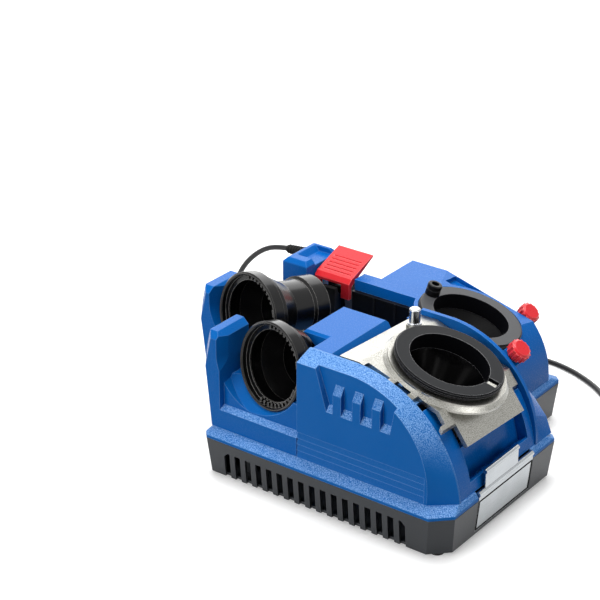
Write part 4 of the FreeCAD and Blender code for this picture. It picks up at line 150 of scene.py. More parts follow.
class Sketch:
    """Adds and joins the nodes of one shader tree in short calls."""

    def __init__(self, tree: bpy.types.NodeTree) -> None:
        """Keep the tree that the nodes go into."""
        self.tree = tree

    @classmethod
    def bare(cls, owner: bpy.types.Material | bpy.types.World) -> Sketch:
        """Clear the nodes of a material or a world and return a sketch of its tree."""
        owner.use_nodes = True
        owner.node_tree.nodes.clear()
        return cls(owner.node_tree)

    def add(self, kind: str, inputs: dict | None = None, **settings: object) -> bpy.types.Node:
        """Add a node.

        Args:
            kind: Blender's name of the node type.
            inputs: Socket name or number to a value, or to an output socket that is joined to it.
            **settings: Properties of the node.

        Returns:
            The new node.
        """
        node = self.tree.nodes.new(kind)
        for name, value in settings.items():
            setattr(node, name, value)
        for name, value in (inputs or {}).items():
            self.feed(node.inputs[name], value)
        return node

    def feed(self, socket: bpy.types.NodeSocket, value: object) -> None:
        """Set a socket to a value, or join an output socket to it."""
        if isinstance(value, bpy.types.NodeSocket):
            self.tree.links.new(value, socket)
        else:
            socket.default_value = value

    def maths(self, operation: str, first: object, second: object = 0.0,
              clamp: bool = False) -> bpy.types.NodeSocket:
        """Add a Math node and return its output."""
        node = self.add("ShaderNodeMath", {0: first, 1: second}, operation=operation, use_clamp=clamp)
        return node.outputs[0]

    def mixed(self, factor: object, first: object, second: object) -> bpy.types.NodeSocket:
        """Add a colour mix, whose colours are sockets 6 and 7 and output 2, and return its output."""
        node = self.add("ShaderNodeMix", {0: factor, 6: first, 7: second}, data_type="RGBA")
        return node.outputs[2]

    def ramped(self, value: object, low: float, high: float) -> bpy.types.NodeSocket:
        """Add a smooth step from low to high and return its output."""
        node = self.add("ShaderNodeMapRange", {"Value": value, "From Min": low, "From Max": high},
                        interpolation_type="SMOOTHSTEP")
        return node.outputs["Result"]

    def noise(self, scale: object, detail: float, stretch: Triple | None = None) -> bpy.types.NodeSocket:
        """Add noise on the object's own coordinates, which may be stretched, and return its value."""
        place = self.add("ShaderNodeTexCoord").outputs["Object"]
        if stretch:
            place = self.add("ShaderNodeMapping", {"Vector": place, "Scale": stretch}).outputs[0]
        node = self.add("ShaderNodeTexNoise", {"Vector": place, "Scale": scale, "Detail": detail})
        return node.outputs[0]

    def upward(self, low: float, high: float) -> bpy.types.NodeSocket:
        """Return a smooth step on how far the surface looks up, from -1 to 1."""
        normal = self.add("ShaderNodeTexCoord").outputs["Normal"]
        return self.ramped(self.add("ShaderNodeSeparateXYZ", {0: normal}).outputs["Z"], low, high)

    def seen(self) -> bpy.types.NodeSocket:
        """Return 1 for the rays that show what they meet, and 0 for those that only carry light."""
        path = self.add("ShaderNodeLightPath").outputs
        shown = self.maths("ADD", path["Is Camera Ray"], path["Is Glossy Ray"], clamp=True)
        return self.maths("ADD", shown, path["Is Transmission Ray"], clamp=True)


class Effect(Enum):
    """Surface effects that several finishes share, each a node group built once."""

    GRAIN_AND_GLINT = "grain_and_painted_glint"
    MOTTLE = "colour_mottle"
    EDGE_HIGHLIGHT = "painted_edge_highlight"
    DUST = "settled_dust"


class EffectLibrary:
    """Builds the shared node groups and hands them to the finishes."""

    # Where the smooth steps of the masks begin and end.
    PAINTED_GLINT_UPWARD = (0.2, 0.7)
    PAINTED_GLINT_SPECKS = (0.36, 0.68)
    DUST_UPWARD = (-0.1, 0.9)
    DUST_PATCHES = (0.45, 0.75)

    def __init__(self) -> None:
        """Build every group."""
        self.groups = {
            Effect.GRAIN_AND_GLINT: self._grain_and_painted_glint(),
            Effect.MOTTLE: self._mottle(),
            Effect.EDGE_HIGHLIGHT: self._painted_edge_highlight(),
            Effect.DUST: self._dust(),
        }

    @staticmethod
    def _group(effect: Effect, inputs: dict[str, float],
               outputs: list[str]) -> tuple[Sketch, dict, bpy.types.Node]:
        """Start a group with value sockets.

        Args:
            effect: Which effect the group is.
            inputs: Input names and default values.
            outputs: Output names.

        Returns:
            The sketch, the input sockets by name and the output node.
        """
        tree = bpy.data.node_groups.new(effect.value, "ShaderNodeTree")
        for name, value in inputs.items():
            socket = tree.interface.new_socket(name, in_out="INPUT", socket_type="NodeSocketFloat")
            socket.default_value = value
        for name in outputs:
            tree.interface.new_socket(name, in_out="OUTPUT", socket_type="NodeSocketFloat")
        sketch = Sketch(tree)
        entry = sketch.add("NodeGroupInput")
        leave = sketch.add("NodeGroupOutput")
        return sketch, {name: entry.outputs[name] for name in inputs}, leave

    def _grain_and_painted_glint(self) -> bpy.types.NodeTree:
        """Fine moulded grain as a height for the bump, and painted glints: pale specks on faces that look up,
        painted as highlights.
        """
        sketch, given, leave = self._group(Effect.GRAIN_AND_GLINT, {"Scale": 900.0, "Facing": 1.0, "Ceiling": 1.0},
                                           ["Height", "PaintedGlint"])
        noise = sketch.noise(given["Scale"], detail=1.5)
        # Painted glints only on faces that look up, where a highlight would fall.
        facing = sketch.upward(*self.PAINTED_GLINT_UPWARD)
        painted_glints = sketch.ramped(noise, *self.PAINTED_GLINT_SPECKS)
        place = sketch.add("ShaderNodeTexCoord").outputs["Object"]
        height = sketch.add("ShaderNodeSeparateXYZ", {0: place}).outputs["Z"]
        low = sketch.maths("LESS_THAN", height, given["Ceiling"])
        painted_light_share = sketch.maths("MULTIPLY", sketch.maths("MULTIPLY", facing, given["Facing"]), low)
        sketch.feed(leave.inputs["Height"], noise)
        sketch.feed(leave.inputs["PaintedGlint"], sketch.maths("MULTIPLY", painted_glints, painted_light_share))
        return sketch.tree

    def _mottle(self) -> bpy.types.NodeTree:
        """Slow and fine change of tone over a surface."""
        sketch, given, leave = self._group(Effect.MOTTLE, {"Scale": 30.0, "Fine": 400.0}, ["Slow", "Fine"])
        sketch.feed(leave.inputs["Slow"], sketch.noise(given["Scale"], detail=3.0))
        sketch.feed(leave.inputs["Fine"], sketch.noise(given["Fine"], detail=2.0))
        return sketch.tree

    def _painted_edge_highlight(self) -> bpy.types.NodeTree:
        """Mask of the outer edges for a painted highlight, which stands for light caught on the rounded
        edges.
        """
        sketch, given, leave = self._group(Effect.EDGE_HIGHLIGHT, {"Radius": 0.0011, "Gain": 7.0}, ["Mask"])
        rounded = sketch.add("ShaderNodeBevel", {"Radius": given["Radius"]}, samples=4)
        normal = sketch.add("ShaderNodeNewGeometry").outputs["Normal"]
        dot = sketch.add("ShaderNodeVectorMath", {0: rounded.outputs[0], 1: normal}, operation="DOT_PRODUCT")
        away = sketch.maths("SUBTRACT", 1.0, dot.outputs["Value"])
        sketch.feed(leave.inputs["Mask"], sketch.maths("MULTIPLY", away, given["Gain"], clamp=True))
        return sketch.tree

    def _dust(self) -> bpy.types.NodeTree:
        """Mask of pale dust that lies in patches on faces that look up."""
        sketch, given, leave = self._group(Effect.DUST, {"Amount": 0.3, "Scale": 60.0}, ["Mask"])
        patches = sketch.ramped(sketch.noise(given["Scale"], detail=5.0), *self.DUST_PATCHES)
        both = sketch.maths("MULTIPLY", patches, sketch.upward(*self.DUST_UPWARD))
        sketch.feed(leave.inputs["Mask"], sketch.maths("MULTIPLY", both, given["Amount"]))
        return sketch.tree

    def place(self, sketch: Sketch, effect: Effect, **values: float) -> bpy.types.Node:
        """Put a group into a material.

        Args:
            sketch: The material's sketch.
            effect: Which group.
            **values: Input values by name.

        Returns:
            The group node.
        """
        node = sketch.add("ShaderNodeGroup", node_tree=self.groups[effect])
        for name, value in values.items():
            node.inputs[name].default_value = value
        return node


DUST_GREY = linear(170, 165, 158)


@dataclass(frozen=True)
class Finish:
    """A plain moulded or painted finish with mottle, dust and a painted highlight on its edges."""

    name: str
    colour: Colour
    # Paler tone: the mottle, brush lines and cast skin lean to it, and it colours the painted edge highlights
    # and painted glints.
    lit: Colour
    roughness: float = 0.42
    metallic: float = 0.0
    specular: float = 0.5
    # Share of the painted edge highlight, in the pale colour.
    edge: float = 0.25
    dust: float = 0.0
    bump: float = 0.05
    relief: float = 0.0004
    fine: float = 700.0
    mottle: float = 0.02
    swing: float = 0.16

    def build(self, effects: EffectLibrary) -> bpy.types.Material:
        """Make the material.

        Args:
            effects: The shared node groups.

        Returns:
            The new material.
        """
        material = bpy.data.materials.new(self.name)
        sketch = Sketch.bare(material)
        shader = sketch.add("ShaderNodeBsdfPrincipled", {"Metallic": self.metallic,
                                                         "Specular IOR Level": self.specular})
        sketch.add("ShaderNodeOutputMaterial", {"Surface": shader.outputs[0]})
        self.paint(sketch, shader, effects)
        return material

    def paint(self, sketch: Sketch, shader: bpy.types.Node, effects: EffectLibrary) -> None:
        """Join colour, roughness and bump to the shader.

        Args:
            sketch: The material's sketch.
            shader: The Principled shader.
            effects: The shared node groups.
        """
        mottle = effects.place(sketch, Effect.MOTTLE, Fine=self.fine)
        colour = self.mottled(sketch, mottle)
        sketch.feed(shader.inputs["Base Color"], self.with_edge_highlight_and_dust(sketch, effects, colour))
        self.vary_roughness(sketch, shader, mottle.outputs["Fine"])
        self.raise_grain(sketch, shader, mottle.outputs["Fine"])

    def ground(self, sketch: Sketch) -> object:
        """Return the colour under the wear."""
        return self.colour

    def mottled(self, sketch: Sketch, mottle: bpy.types.Node) -> bpy.types.NodeSocket:
        """Change the tone of the ground slowly and return the result."""
        tone = sketch.maths("MULTIPLY", mottle.outputs["Slow"], self.mottle)
        return sketch.mixed(tone, self.ground(sketch), self.lit)

    def with_edge_highlight_and_dust(self, sketch: Sketch, effects: EffectLibrary,
             colour: bpy.types.NodeSocket) -> bpy.types.NodeSocket:
        """Lay the painted edge highlight and dust over a colour and return the result."""
        # Painted highlight: the outer edges are mixed towards the pale colour.
        edge = effects.place(sketch, Effect.EDGE_HIGHLIGHT)
        painted_light_share = sketch.maths("MULTIPLY", edge.outputs["Mask"], self.edge)
        colour = sketch.mixed(painted_light_share, colour, self.lit)
        if self.dust > 0.0:
            dust = effects.place(sketch, Effect.DUST, Amount=self.dust)
            colour = sketch.mixed(dust.outputs["Mask"], colour, DUST_GREY)
        return colour

    def vary_roughness(self, sketch: Sketch, shader: bpy.types.Node, value: bpy.types.NodeSocket) -> None:
        """Let the roughness swing about its middle with a value from 0 to 1."""
        rough = sketch.maths("MULTIPLY_ADD", value, self.swing)
        rough.node.inputs[2].default_value = self.roughness - self.swing / 2.0
        sketch.feed(shader.inputs["Roughness"], rough)

    def raise_grain(self, sketch: Sketch, shader: bpy.types.Node, height: bpy.types.NodeSocket) -> None:
        """Join a height to the shader's normal through a bump."""
        bump = sketch.add("ShaderNodeBump", {"Strength": self.bump, "Distance": self.relief,
                                             "Height": height})
        sketch.feed(shader.inputs["Normal"], bump.outputs[0])


@dataclass(frozen=True)
class GrainedFinish(Finish):
    """Moulded plastic with a spark-eroded grain, and painted glints: pale specks painted as highlights on
    faces that look up.
    """

    bump: float = 0.3
    relief: float = 0.0006
    swing: float = 0.2
    grain: float = 1050.0
    # Strength of the painted glints on faces that look up.
    painted_glint: float = 0.62
    # Painted glints stay below this height in the part's own coordinates.
    ceiling: float = 1.0

    def paint(self, sketch: Sketch, shader: bpy.types.Node, effects: EffectLibrary) -> None:
        """Join colour with its painted glints, roughness and grain to the shader."""
        mottle = effects.place(sketch, Effect.MOTTLE, Fine=self.fine)
        grain = effects.place(sketch, Effect.GRAIN_AND_GLINT, Scale=self.grain, Facing=self.painted_glint,
                              Ceiling=self.ceiling)
        # Painted highlight: glint specks lift the colour towards the pale one on faces that look up.
        colour = sketch.mixed(grain.outputs["PaintedGlint"], self.mottled(sketch, mottle), self.lit)
        sketch.feed(shader.inputs["Base Color"], self.with_edge_highlight_and_dust(sketch, effects, colour))
        self.vary_roughness(sketch, shader, grain.outputs["Height"])
        self.raise_grain(sketch, shader, grain.outputs["Height"])


@dataclass(frozen=True)
class BrushedFinish(Finish):
    """Bright metal with fine lines along one direction."""

    swing: float = 0.2
    stretch: Triple = (1.0, 30.0, 30.0)
    line: float = 0.0012

    def paint(self, sketch: Sketch, shader: bpy.types.Node, effects: EffectLibrary) -> None:
        """Join colour, roughness and lines to the shader."""
        scale = 1.0 / (self.line * max(self.stretch))
        lines = sketch.noise(scale, detail=2.0, stretch=self.stretch)
        mottle = effects.place(sketch, Effect.MOTTLE, Fine=self.fine)
        both = sketch.maths("MULTIPLY", lines, mottle.outputs["Slow"])
        colour = sketch.mixed(both, self.colour, self.lit)
        sketch.feed(shader.inputs["Base Color"], self.with_edge_highlight_and_dust(sketch, effects, colour))
        self.vary_roughness(sketch, shader, lines)
        self.raise_grain(sketch, shader, lines)


@dataclass(frozen=True)
class FacedFinish(Finish):
    """Turned plastic coloured by the way its surface looks: its colour where it looks along the axis, near
    black on the walls.
    """

    axis: Triple = (0.0, 0.0, 1.0)
    facing: Pair = (0.8, 0.97)
    wall: Colour = (0.003, 0.003, 0.004, 1.0)

    def ground(self, sketch: Sketch) -> object:
        """Return the wall's colour, or the face's where the surface looks along the axis."""
        normal = sketch.add("ShaderNodeTexCoord").outputs["Normal"]
        along = sketch.add("ShaderNodeVectorMath", {0: normal, 1: self.axis}, operation="DOT_PRODUCT")
        return sketch.mixed(sketch.ramped(along.outputs["Value"], *self.facing), self.wall, self.colour)


@dataclass(frozen=True)
class CastFinish(Finish):
    """Die-cast metal with a coarse skin that sparkles."""

    swing: float = 0.3
    skin: float = 1500.0
    sparkle: Pair = (0.36, 0.66)

    def paint(self, sketch: Sketch, shader: bpy.types.Node, effects: EffectLibrary) -> None:
        """Join colour, roughness and skin to the shader."""
        mottle = effects.place(sketch, Effect.MOTTLE, Fine=self.skin)
        tone = sketch.ramped(mottle.outputs["Fine"], *self.sparkle)
        colour = sketch.mixed(tone, self.colour, self.lit)
        sketch.feed(shader.inputs["Base Color"], self.with_edge_highlight_and_dust(sketch, effects, colour))
        self.vary_roughness(sketch, shader, mottle.outputs["Slow"])
        self.raise_grain(sketch, shader, mottle.outputs["Fine"])


class Paint(Enum):
    """Every finish on the machine."""

    BLUE_SATIN = Finish("blue_satin", linear(0, 91, 170), linear(122, 182, 244),
                        roughness=0.26, specular=0.09, edge=0.36)
    BLUE_GRAIN = GrainedFinish("blue_grain", linear(0, 92, 168), linear(160, 204, 250),
                               roughness=0.32, specular=0.08, edge=0.36)
    # Its painted glints stay on the cradle's lower ledge, below the ceiling height.
    BLUE_LEDGE = GrainedFinish("blue_ledge", linear(0, 91, 168), linear(160, 204, 250),
                               roughness=0.26, specular=0.08, edge=0.36, bump=0.06, ceiling=0.0845)
    BASE_GREY = Finish("base_grey", linear(44, 47, 51), linear(104, 108, 112),
                       roughness=0.36, specular=0.3, edge=0.4)
    BLACK_SATIN = Finish("black_satin", linear(7, 7, 8), linear(84, 84, 86),
                         roughness=0.34, specular=0.14, edge=0.35, dust=0.02)
    CHUCK_BLACK = Finish("chuck_black", linear(5, 5, 6), linear(160, 158, 154),
                         roughness=0.22, specular=0.3, edge=0.7, mottle=0.004)
    NEAR_RING = FacedFinish("near_ring_grey", linear(34, 35, 37), linear(190, 191, 193), roughness=0.36,
                            specular=0.04, edge=0.5, mottle=0.0, axis=leaning(tilt=17.5, roll=3.4))
    FAR_RING = FacedFinish("far_ring_grey", linear(72, 73, 75), linear(150, 151, 153), roughness=0.4,
                           specular=0.07, edge=0.4, mottle=0.0, axis=leaning(tilt=15.0, roll=6.0))
    CUP_BLACK = Finish("cup_black", linear(4, 4, 5), linear(16, 16, 18),
                       roughness=0.14, edge=0.0, bump=0.01)
    # Matt black far cup: its own dark colour, and painted shade that stands for the depth of the far port.
    CUP_SHADE_MATT = Finish("cup_matt_shade", linear(4, 4, 5), linear(14, 14, 16),
                      roughness=0.6, specular=0.08, edge=0.0)
    RED_SATIN = Finish("red_satin", linear(208, 28, 38), linear(250, 150, 150),
                       roughness=0.3, specular=0.3, edge=0.5)
    CAST_METAL = CastFinish("cast_metal", linear(118, 117, 111), linear(182, 181, 175),
                            roughness=0.3, metallic=1.0, edge=0.7, bump=0.16)
    BRIGHT_STEEL = BrushedFinish("bright_steel", linear(170, 172, 176), linear(214, 216, 218),
                                 roughness=0.2, metallic=1.0, bump=0.02)
    SHEET_STEEL = BrushedFinish("sheet_steel", linear(160, 164, 167), linear(192, 196, 199),
                                roughness=0.2, metallic=1.0, bump=0.01, stretch=(30.0, 1.0, 30.0))
    MOTOR_PAINT = Finish("motor_paint", linear(50, 50, 54), linear(110, 110, 114),
                         roughness=0.4, dust=0.2)
    MOTOR_IRON = BrushedFinish("motor_iron", linear(120, 104, 90), linear(176, 160, 146),
                               roughness=0.42, metallic=1.0, stretch=(1.0, 40.0, 1.0))
    BRASS = BrushedFinish("brush_brass", linear(196, 158, 92), linear(236, 210, 150),
                          roughness=0.3, metallic=1.0)
    GRIT = GrainedFinish("wheel_grit", linear(150, 138, 122), linear(206, 200, 188),
                         roughness=0.8, edge=0.2, bump=0.8, grain=1800.0, painted_glint=0.4)
    RUBBER = Finish("black_rubber", linear(18, 18, 18), linear(54, 54, 54),
                    roughness=0.7, specular=0.15, edge=0.2, dust=0.06)
    SHEATH = Finish("cord_sheath", linear(20, 20, 22), linear(86, 87, 90),
                    roughness=0.42, specular=0.3, edge=0.0, bump=0.03)
    MARKING = Finish("white_marking", linear(206, 208, 210), linear(226, 228, 230),
                     roughness=0.5, edge=0.0)


class Workshop:
    """Holds the frame, the datum, the effects and the materials while the machine is dressed."""

    def __init__(self) -> None:
        """Load the frame and find the datum from the rest mount."""
        self.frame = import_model()
        self.cad_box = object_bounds()
        self.effects = EffectLibrary()
        self.materials: dict[Paint, bpy.types.Material] = {}
        mount = Vector(self.frame["record"]["mounts"][0]["pos_m"])
        self.datum = mount - REST_FOOT

    def material(self, paint: Paint) -> bpy.types.Material:
        """Return a finish's material, built on first use."""
        if paint not in self.materials:
            self.materials[paint] = paint.value.build(self.effects)
        return self.materials[paint]

    def dress(self, node: str, paint: Paint) -> None:
        """Give a node its finish.

        Args:
            node: Name of the node.
            paint: Finish that covers it.
        """
        mesh = self.frame["nodes"][node].data
        mesh.materials.clear()
        mesh.materials.append(self.material(paint))
        LOG.info("%s: %s", node, paint.value.name)

    def soften(self, node: str, width: float) -> None:
        """Round a node's edges as a mould or a file leaves them.

        Args:
            node: Name of the node.
            width: Width of the rounded edge.
        """
        piece = self.frame["nodes"][node]
        weld = piece.modifiers.new("weld", "WELD")
        weld.merge_threshold = NODE_WELD
        if node not in GROOVED:
            flat = piece.modifiers.new("flat", "DECIMATE")
            flat.decimate_type = "DISSOLVE"
            flat.angle_limit = math.radians(FLAT_ANGLE)
        bevel = piece.modifiers.new("round", "BEVEL")
        bevel.width = width
        bevel.segments = ROUND_FACETS
        bevel.limit_method = "ANGLE"
        bevel.angle_limit = math.radians(NODE_ANGLE)
        bevel.use_clamp_overlap = True
        bevel.miter_outer = "MITER_ARC"
        normal = piece.modifiers.new("shade", "WEIGHTED_NORMAL")
        normal.keep_sharp = True

    def at(self, x: float, y: float, z: float) -> Vector:
        """Point given in millimetres from the datum, in the frame."""
        return self.datum + Vector((x, y, z)) * MM


class Draft:
    """A new piece under construction, drawn in millimetres from the datum."""

    def __init__(self, shop: Workshop, name: str) -> None:
        """Start an empty piece."""
        self.shop = shop
        self.name = name
        self.mesh = bmesh.new()

    def box(self, frame: Matrix, size: Triple) -> None:
        """Add a box.

        Args:
            frame: Its centre and directions.
            size: Its three lengths.
        """
        bmesh.ops.create_cube(self.mesh, size=1.0, matrix=frame @ Matrix.Diagonal((*size, 1.0)))

    def turn(self, frame: Matrix, profile: Iterable[Pair], steps: int = 48) -> None:
        """Add a closed profile turned about an axis.

        Args:
            frame: Its origin, with the axis along Z.
            profile: Radius and height of each corner.
            steps: Facets round the axis.
        """
        corners = [self.mesh.verts.new(frame @ Vector((radius, 0.0, height))) for radius, height in profile]
        edges = [self.mesh.edges.new((corner, corners[(index + 1) % len(corners)]))
                 for index, corner in enumerate(corners)]
        axis = (frame.to_3x3() @ UPRIGHT).normalized()
        bmesh.ops.spin(self.mesh, geom=corners + edges, cent=frame.translation, axis=axis,
                       dvec=(0.0, 0.0, 0.0), angle=math.tau, steps=steps, use_merge=True)

    def rim(self, corners: Iterable[Vector], width: float, rise: float) -> None:
        """Add a raised band along the border of a flat outline.

        Args:
            corners: The outline, in order.
            width: Width of the band.
            rise: How far it stands up.
        """
        face = self.mesh.faces.new([self.mesh.verts.new(corner) for corner in corners])
        face.normal_update()
        out = face.normal * rise
        inset = bmesh.ops.inset_individual(self.mesh, faces=[face], thickness=width, use_even_offset=True)
        bmesh.ops.delete(self.mesh, geom=[face], context="FACES_ONLY")
        copied = bmesh.ops.extrude_face_region(self.mesh, geom=inset["faces"], use_keep_orig=True)["geom"]
        raised = [part for part in copied if isinstance(part, bmesh.types.BMVert)]
        bmesh.ops.translate(self.mesh, vec=out, verts=raised)

    def soften(self, width: float) -> None:
        """Round every sharp edge."""
        bmesh.ops.remove_doubles(self.mesh, verts=self.mesh.verts, dist=DRAFT_WELD)
        limit = math.radians(DRAFT_ANGLE)
        sharp = [edge for edge in self.mesh.edges if edge.calc_face_angle(0.0) > limit]
        bmesh.ops.bevel(self.mesh, geom=sharp, offset=width, offset_type="OFFSET", affect="EDGES",
                        segments=ROUND_FACETS, profile=0.5, material=-1, clamp_overlap=True)

    def finish(self, paint: Paint, body: str) -> None:
        """Turn the draft into an object of the machine.

        Args:
            paint: Its finish.
            body: Body that it rides on.
        """
        bmesh.ops.remove_doubles(self.mesh, verts=self.mesh.verts, dist=DRAFT_WELD)
        bmesh.ops.recalc_face_normals(self.mesh, faces=self.mesh.faces)
        bmesh.ops.transform(self.mesh, matrix=Matrix.Translation(self.shop.datum) @ Matrix.Scale(MM, 4),
                            verts=self.mesh.verts)
        data = bpy.data.meshes.new(self.name)
        self.mesh.to_mesh(data)
        self.mesh.free()
        data.materials.append(self.shop.material(paint))
        piece = stand(self.name, data)
        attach(piece, body)
        LOG.info("%s: %d faces on %s", self.name, len(data.polygons), body)


def frame_at(origin: Triple, along: Triple) -> Matrix:
    """Make a frame whose Y is as near to upright as it can be.

    Args:
        origin: Its origin in millimetres.
        along: Its Z direction.

    Returns:
        The frame's matrix.
    """
    z_axis = Vector(along).normalized()
    x_axis = UPRIGHT.cross(z_axis).normalized()
    y_axis = z_axis.cross(x_axis)
    turn = Matrix((x_axis, y_axis, z_axis)).transposed().to_4x4()
    return Matrix.Translation(origin) @ turn


class SubAssembly(ABC):
    """A group of nodes that belong together, with their finishes, edges and small added pieces."""

    @abstractmethod
    def paints(self) -> dict[str, Paint]:
        """Finish of each node."""

    def rounds(self) -> dict[str, float]:
        """Width of the rounded edges of each node that has them."""
        return {}

    def details(self, shop: Workshop) -> None:
        """Add the small pieces."""

    def build(self, shop: Workshop) -> None:
        """Dress every node and add the small pieces."""
        for node, paint in self.paints().items():
            shop.dress(node, paint)
        for node, width in self.rounds().items():
            shop.soften(node, width)
        self.details(shop)


@dataclass
class Base(SubAssembly):
    """Base tray with its feet and screws, and the lower housing on it."""

    edge: float = 0.0009

    def paints(self) -> dict[str, Paint]:
        """Grey tray, black feet, steel screws, blue housing."""
        return {"base_tray": Paint.BASE_GREY, "base_feet": Paint.RUBBER, "housing_screws": Paint.BRIGHT_STEEL,
                "lower_housing": Paint.BLUE_GRAIN}

    def rounds(self) -> dict[str, float]:
        """Moulded edges of tray and housing."""
        return {"base_tray": self.edge, "lower_housing": self.edge}


@dataclass
class NearStation(SubAssembly):
    """Covers, cradle and walls of the near station."""

    edge: float = 0.0009

    def paints(self) -> dict[str, Paint]:
        """Grained side cover and cradle, satin for the rest."""
        return {"near_side_cover": Paint.BLUE_GRAIN, "near_cradle": Paint.BLUE_LEDGE,
                "near_top_block": Paint.BLUE_SATIN, "centre_wall": Paint.BLUE_SATIN,
                "near_end_cover": Paint.BLUE_SATIN, "end_buttress": Paint.BLUE_SATIN}

    def rounds(self) -> dict[str, float]:
        """Moulded edges of every cover."""
        return {node: self.edge for node in self.paints()}


@dataclass
class FarStation(SubAssembly):
    """Deck, cradle and block of the far station."""

    edge: float = 0.0009
    fine: float = 0.0004

    def paints(self) -> dict[str, Paint]:
        """Blue shells over black inner parts."""
        return {"far_deck": Paint.BLUE_SATIN, "far_cradle": Paint.BLUE_SATIN, "far_block": Paint.BLUE_SATIN,
                "far_block_foot": Paint.BLACK_SATIN, "far_inner_panel": Paint.BLACK_SATIN}

    def rounds(self) -> dict[str, float]:
        """Moulded edges of the shells and the foot."""
        return {"far_deck": self.edge, "far_cradle": self.edge, "far_block": self.edge,
                "far_block_foot": self.fine}


@dataclass
class GrindingPorts(SubAssembly):
    """Cast plate, port rings, cups, key, stop pin and guide post."""

    fine: float = 0.0004

    def paints(self) -> dict[str, Paint]:
        """Cast plate and key, grey-faced rings, black cups and post, steel pin; the far cup's matt black is
        partly painted shade down its port.
        """
        return {"near_port_plate": Paint.CAST_METAL, "near_port_ring": Paint.NEAR_RING,
                "near_ring_key": Paint.CAST_METAL, "near_port_cup": Paint.CUP_BLACK,
                "near_stop_pin": Paint.BRIGHT_STEEL, "far_port_ring": Paint.FAR_RING,
                "far_port_cup": Paint.CUP_SHADE_MATT, "far_guide_post": Paint.BLACK_SATIN}

    def rounds(self) -> dict[str, float]:
        """Broken edges of plate, rings, pin and post."""
        return {"near_port_plate": self.fine, "near_port_ring": self.fine, "far_port_ring": self.fine,
                "near_stop_pin": self.fine, "far_guide_post": self.fine}


@dataclass
class DrillChucks(SubAssembly):
    """The two drill chucks in their cradles."""

    fine: float = 0.0004

    def paints(self) -> dict[str, Paint]:
        """Black sleeves and rings, steel jaws."""
        finishes = {}
        for side in ("near", "far"):
            finishes[f"{side}_chuck_sleeve"] = Paint.CHUCK_BLACK
            finishes[f"{side}_chuck_ring"] = Paint.CHUCK_BLACK
            finishes[f"{side}_chuck_jaws"] = Paint.BRIGHT_STEEL
        return finishes

    def rounds(self) -> dict[str, float]:
        """Moulded edges of the gripping rings."""
        return {"near_chuck_ring": self.fine, "far_chuck_ring": self.fine}


@dataclass
class Controls(SubAssembly):
    """Knobs, latch and rocker switch."""

    edge: float = 0.0009
    fine: float = 0.0004
    switch: Triple = (-66.0, 216.0, 96.0)
    slope: float = 9.0
    mark_out: float = 6.0
    mark_rise: float = 0.2
    bar: Pair = (1.1, 4.4)
    ring: Pair = (1.5, 2.3)
    ring_facets: int = 32

    def paints(self) -> dict[str, Paint]:
        """Red grips, black bracket and switch, steel studs and pin."""
        return {"near_knob": Paint.RED_SATIN, "far_knob": Paint.RED_SATIN,
                "near_knob_stud": Paint.BRIGHT_STEEL, "far_knob_stud": Paint.BRIGHT_STEEL,
                "latch_lever": Paint.RED_SATIN, "latch_bracket": Paint.BLACK_SATIN,
                "latch_pin": Paint.BRIGHT_STEEL, "switch_frame": Paint.BLACK_SATIN,
                "switch_rocker": Paint.BLACK_SATIN}

    def rounds(self) -> dict[str, float]:
        """Moulded edges of the grips, the bracket and the switch's frame."""
        return {"near_knob": self.fine, "far_knob": self.fine, "latch_lever": self.edge,
                "latch_bracket": self.fine, "switch_frame": self.fine}

    def details(self, shop: Workshop) -> None:
        """Raise the on and off marks on the two halves of the rocker."""
        marks = Draft(shop, "rocker_marks")
        lean = math.radians(self.slope)
        rise = self.mark_out * math.tan(lean)
        x, y, z = self.switch
        for side in (1.0, -1.0):
            normal = (0.0, math.cos(lean), -side * math.sin(lean))
            spot = frame_at((x, y + rise, z + side * self.mark_out), normal)
            if side > 0.0:
                marks.box(spot, (self.bar[0], self.bar[1], 2.0 * self.mark_rise))
            else:
                inner, outer = self.ring
                marks.turn(spot, [(inner, -self.mark_rise), (outer, -self.mark_rise),
                                  (outer, self.mark_rise), (inner, self.mark_rise)], self.ring_facets)
        marks.finish(Paint.MARKING, "rocker")


@dataclass
class DustDrawer(SubAssembly):
    """Dust drawer with its steel front, finger tab and edging."""

    fine: float = 0.0004
    foot: Pair = (156.0, 4.6)
    head: Pair = (159.7, 42.0)
    sides: Pair = (-47.4, 61.4)
    band: float = 1.5
    rise: float = 0.7
    band_round: float = 0.25

    def paints(self) -> dict[str, Paint]:
        """Black tray, sheet steel front and tab."""
        return {"dust_drawer": Paint.BLACK_SATIN, "drawer_front": Paint.SHEET_STEEL,
                "drawer_tab": Paint.SHEET_STEEL}

    def rounds(self) -> dict[str, float]:
        """Broken edges of the sheet."""
        return {"drawer_front": self.fine, "drawer_tab": self.fine}

    def details(self, shop: Workshop) -> None:
        """Lay a dark edging round the drawer's front."""
        edging = Draft(shop, "drawer_edging")
        (low_x, low), (high_x, high) = self.foot, self.head
        left, right = self.sides
        edging.rim([Vector((low_x, left, low)), Vector((low_x, right, low)), Vector((high_x, right, high)),
                    Vector((high_x, left, high))], self.band, self.rise)
        edging.soften(self.band_round)
        edging.finish(Paint.RUBBER, "drawer")


@dataclass
class Drive(SubAssembly):
    """Motor, shaft and the two grinding wheels."""

    def paints(self) -> dict[str, Paint]:
        """Painted can, cast bells, iron core, grit wheels."""
        return {"motor_can": Paint.MOTOR_PAINT, "motor_front_bell": Paint.CAST_METAL,
                "motor_rear_bell": Paint.CAST_METAL, "motor_bearings": Paint.BRIGHT_STEEL,
                "motor_brushes": Paint.BRASS, "motor_saddle": Paint.BASE_GREY,
                "motor_shaft": Paint.BRIGHT_STEEL, "motor_armature": Paint.MOTOR_IRON,
                "motor_fan": Paint.BLACK_SATIN, "near_grinding_wheel": Paint.GRIT,
                "far_grinding_wheel": Paint.GRIT, "wheel_nuts": Paint.BRIGHT_STEEL}


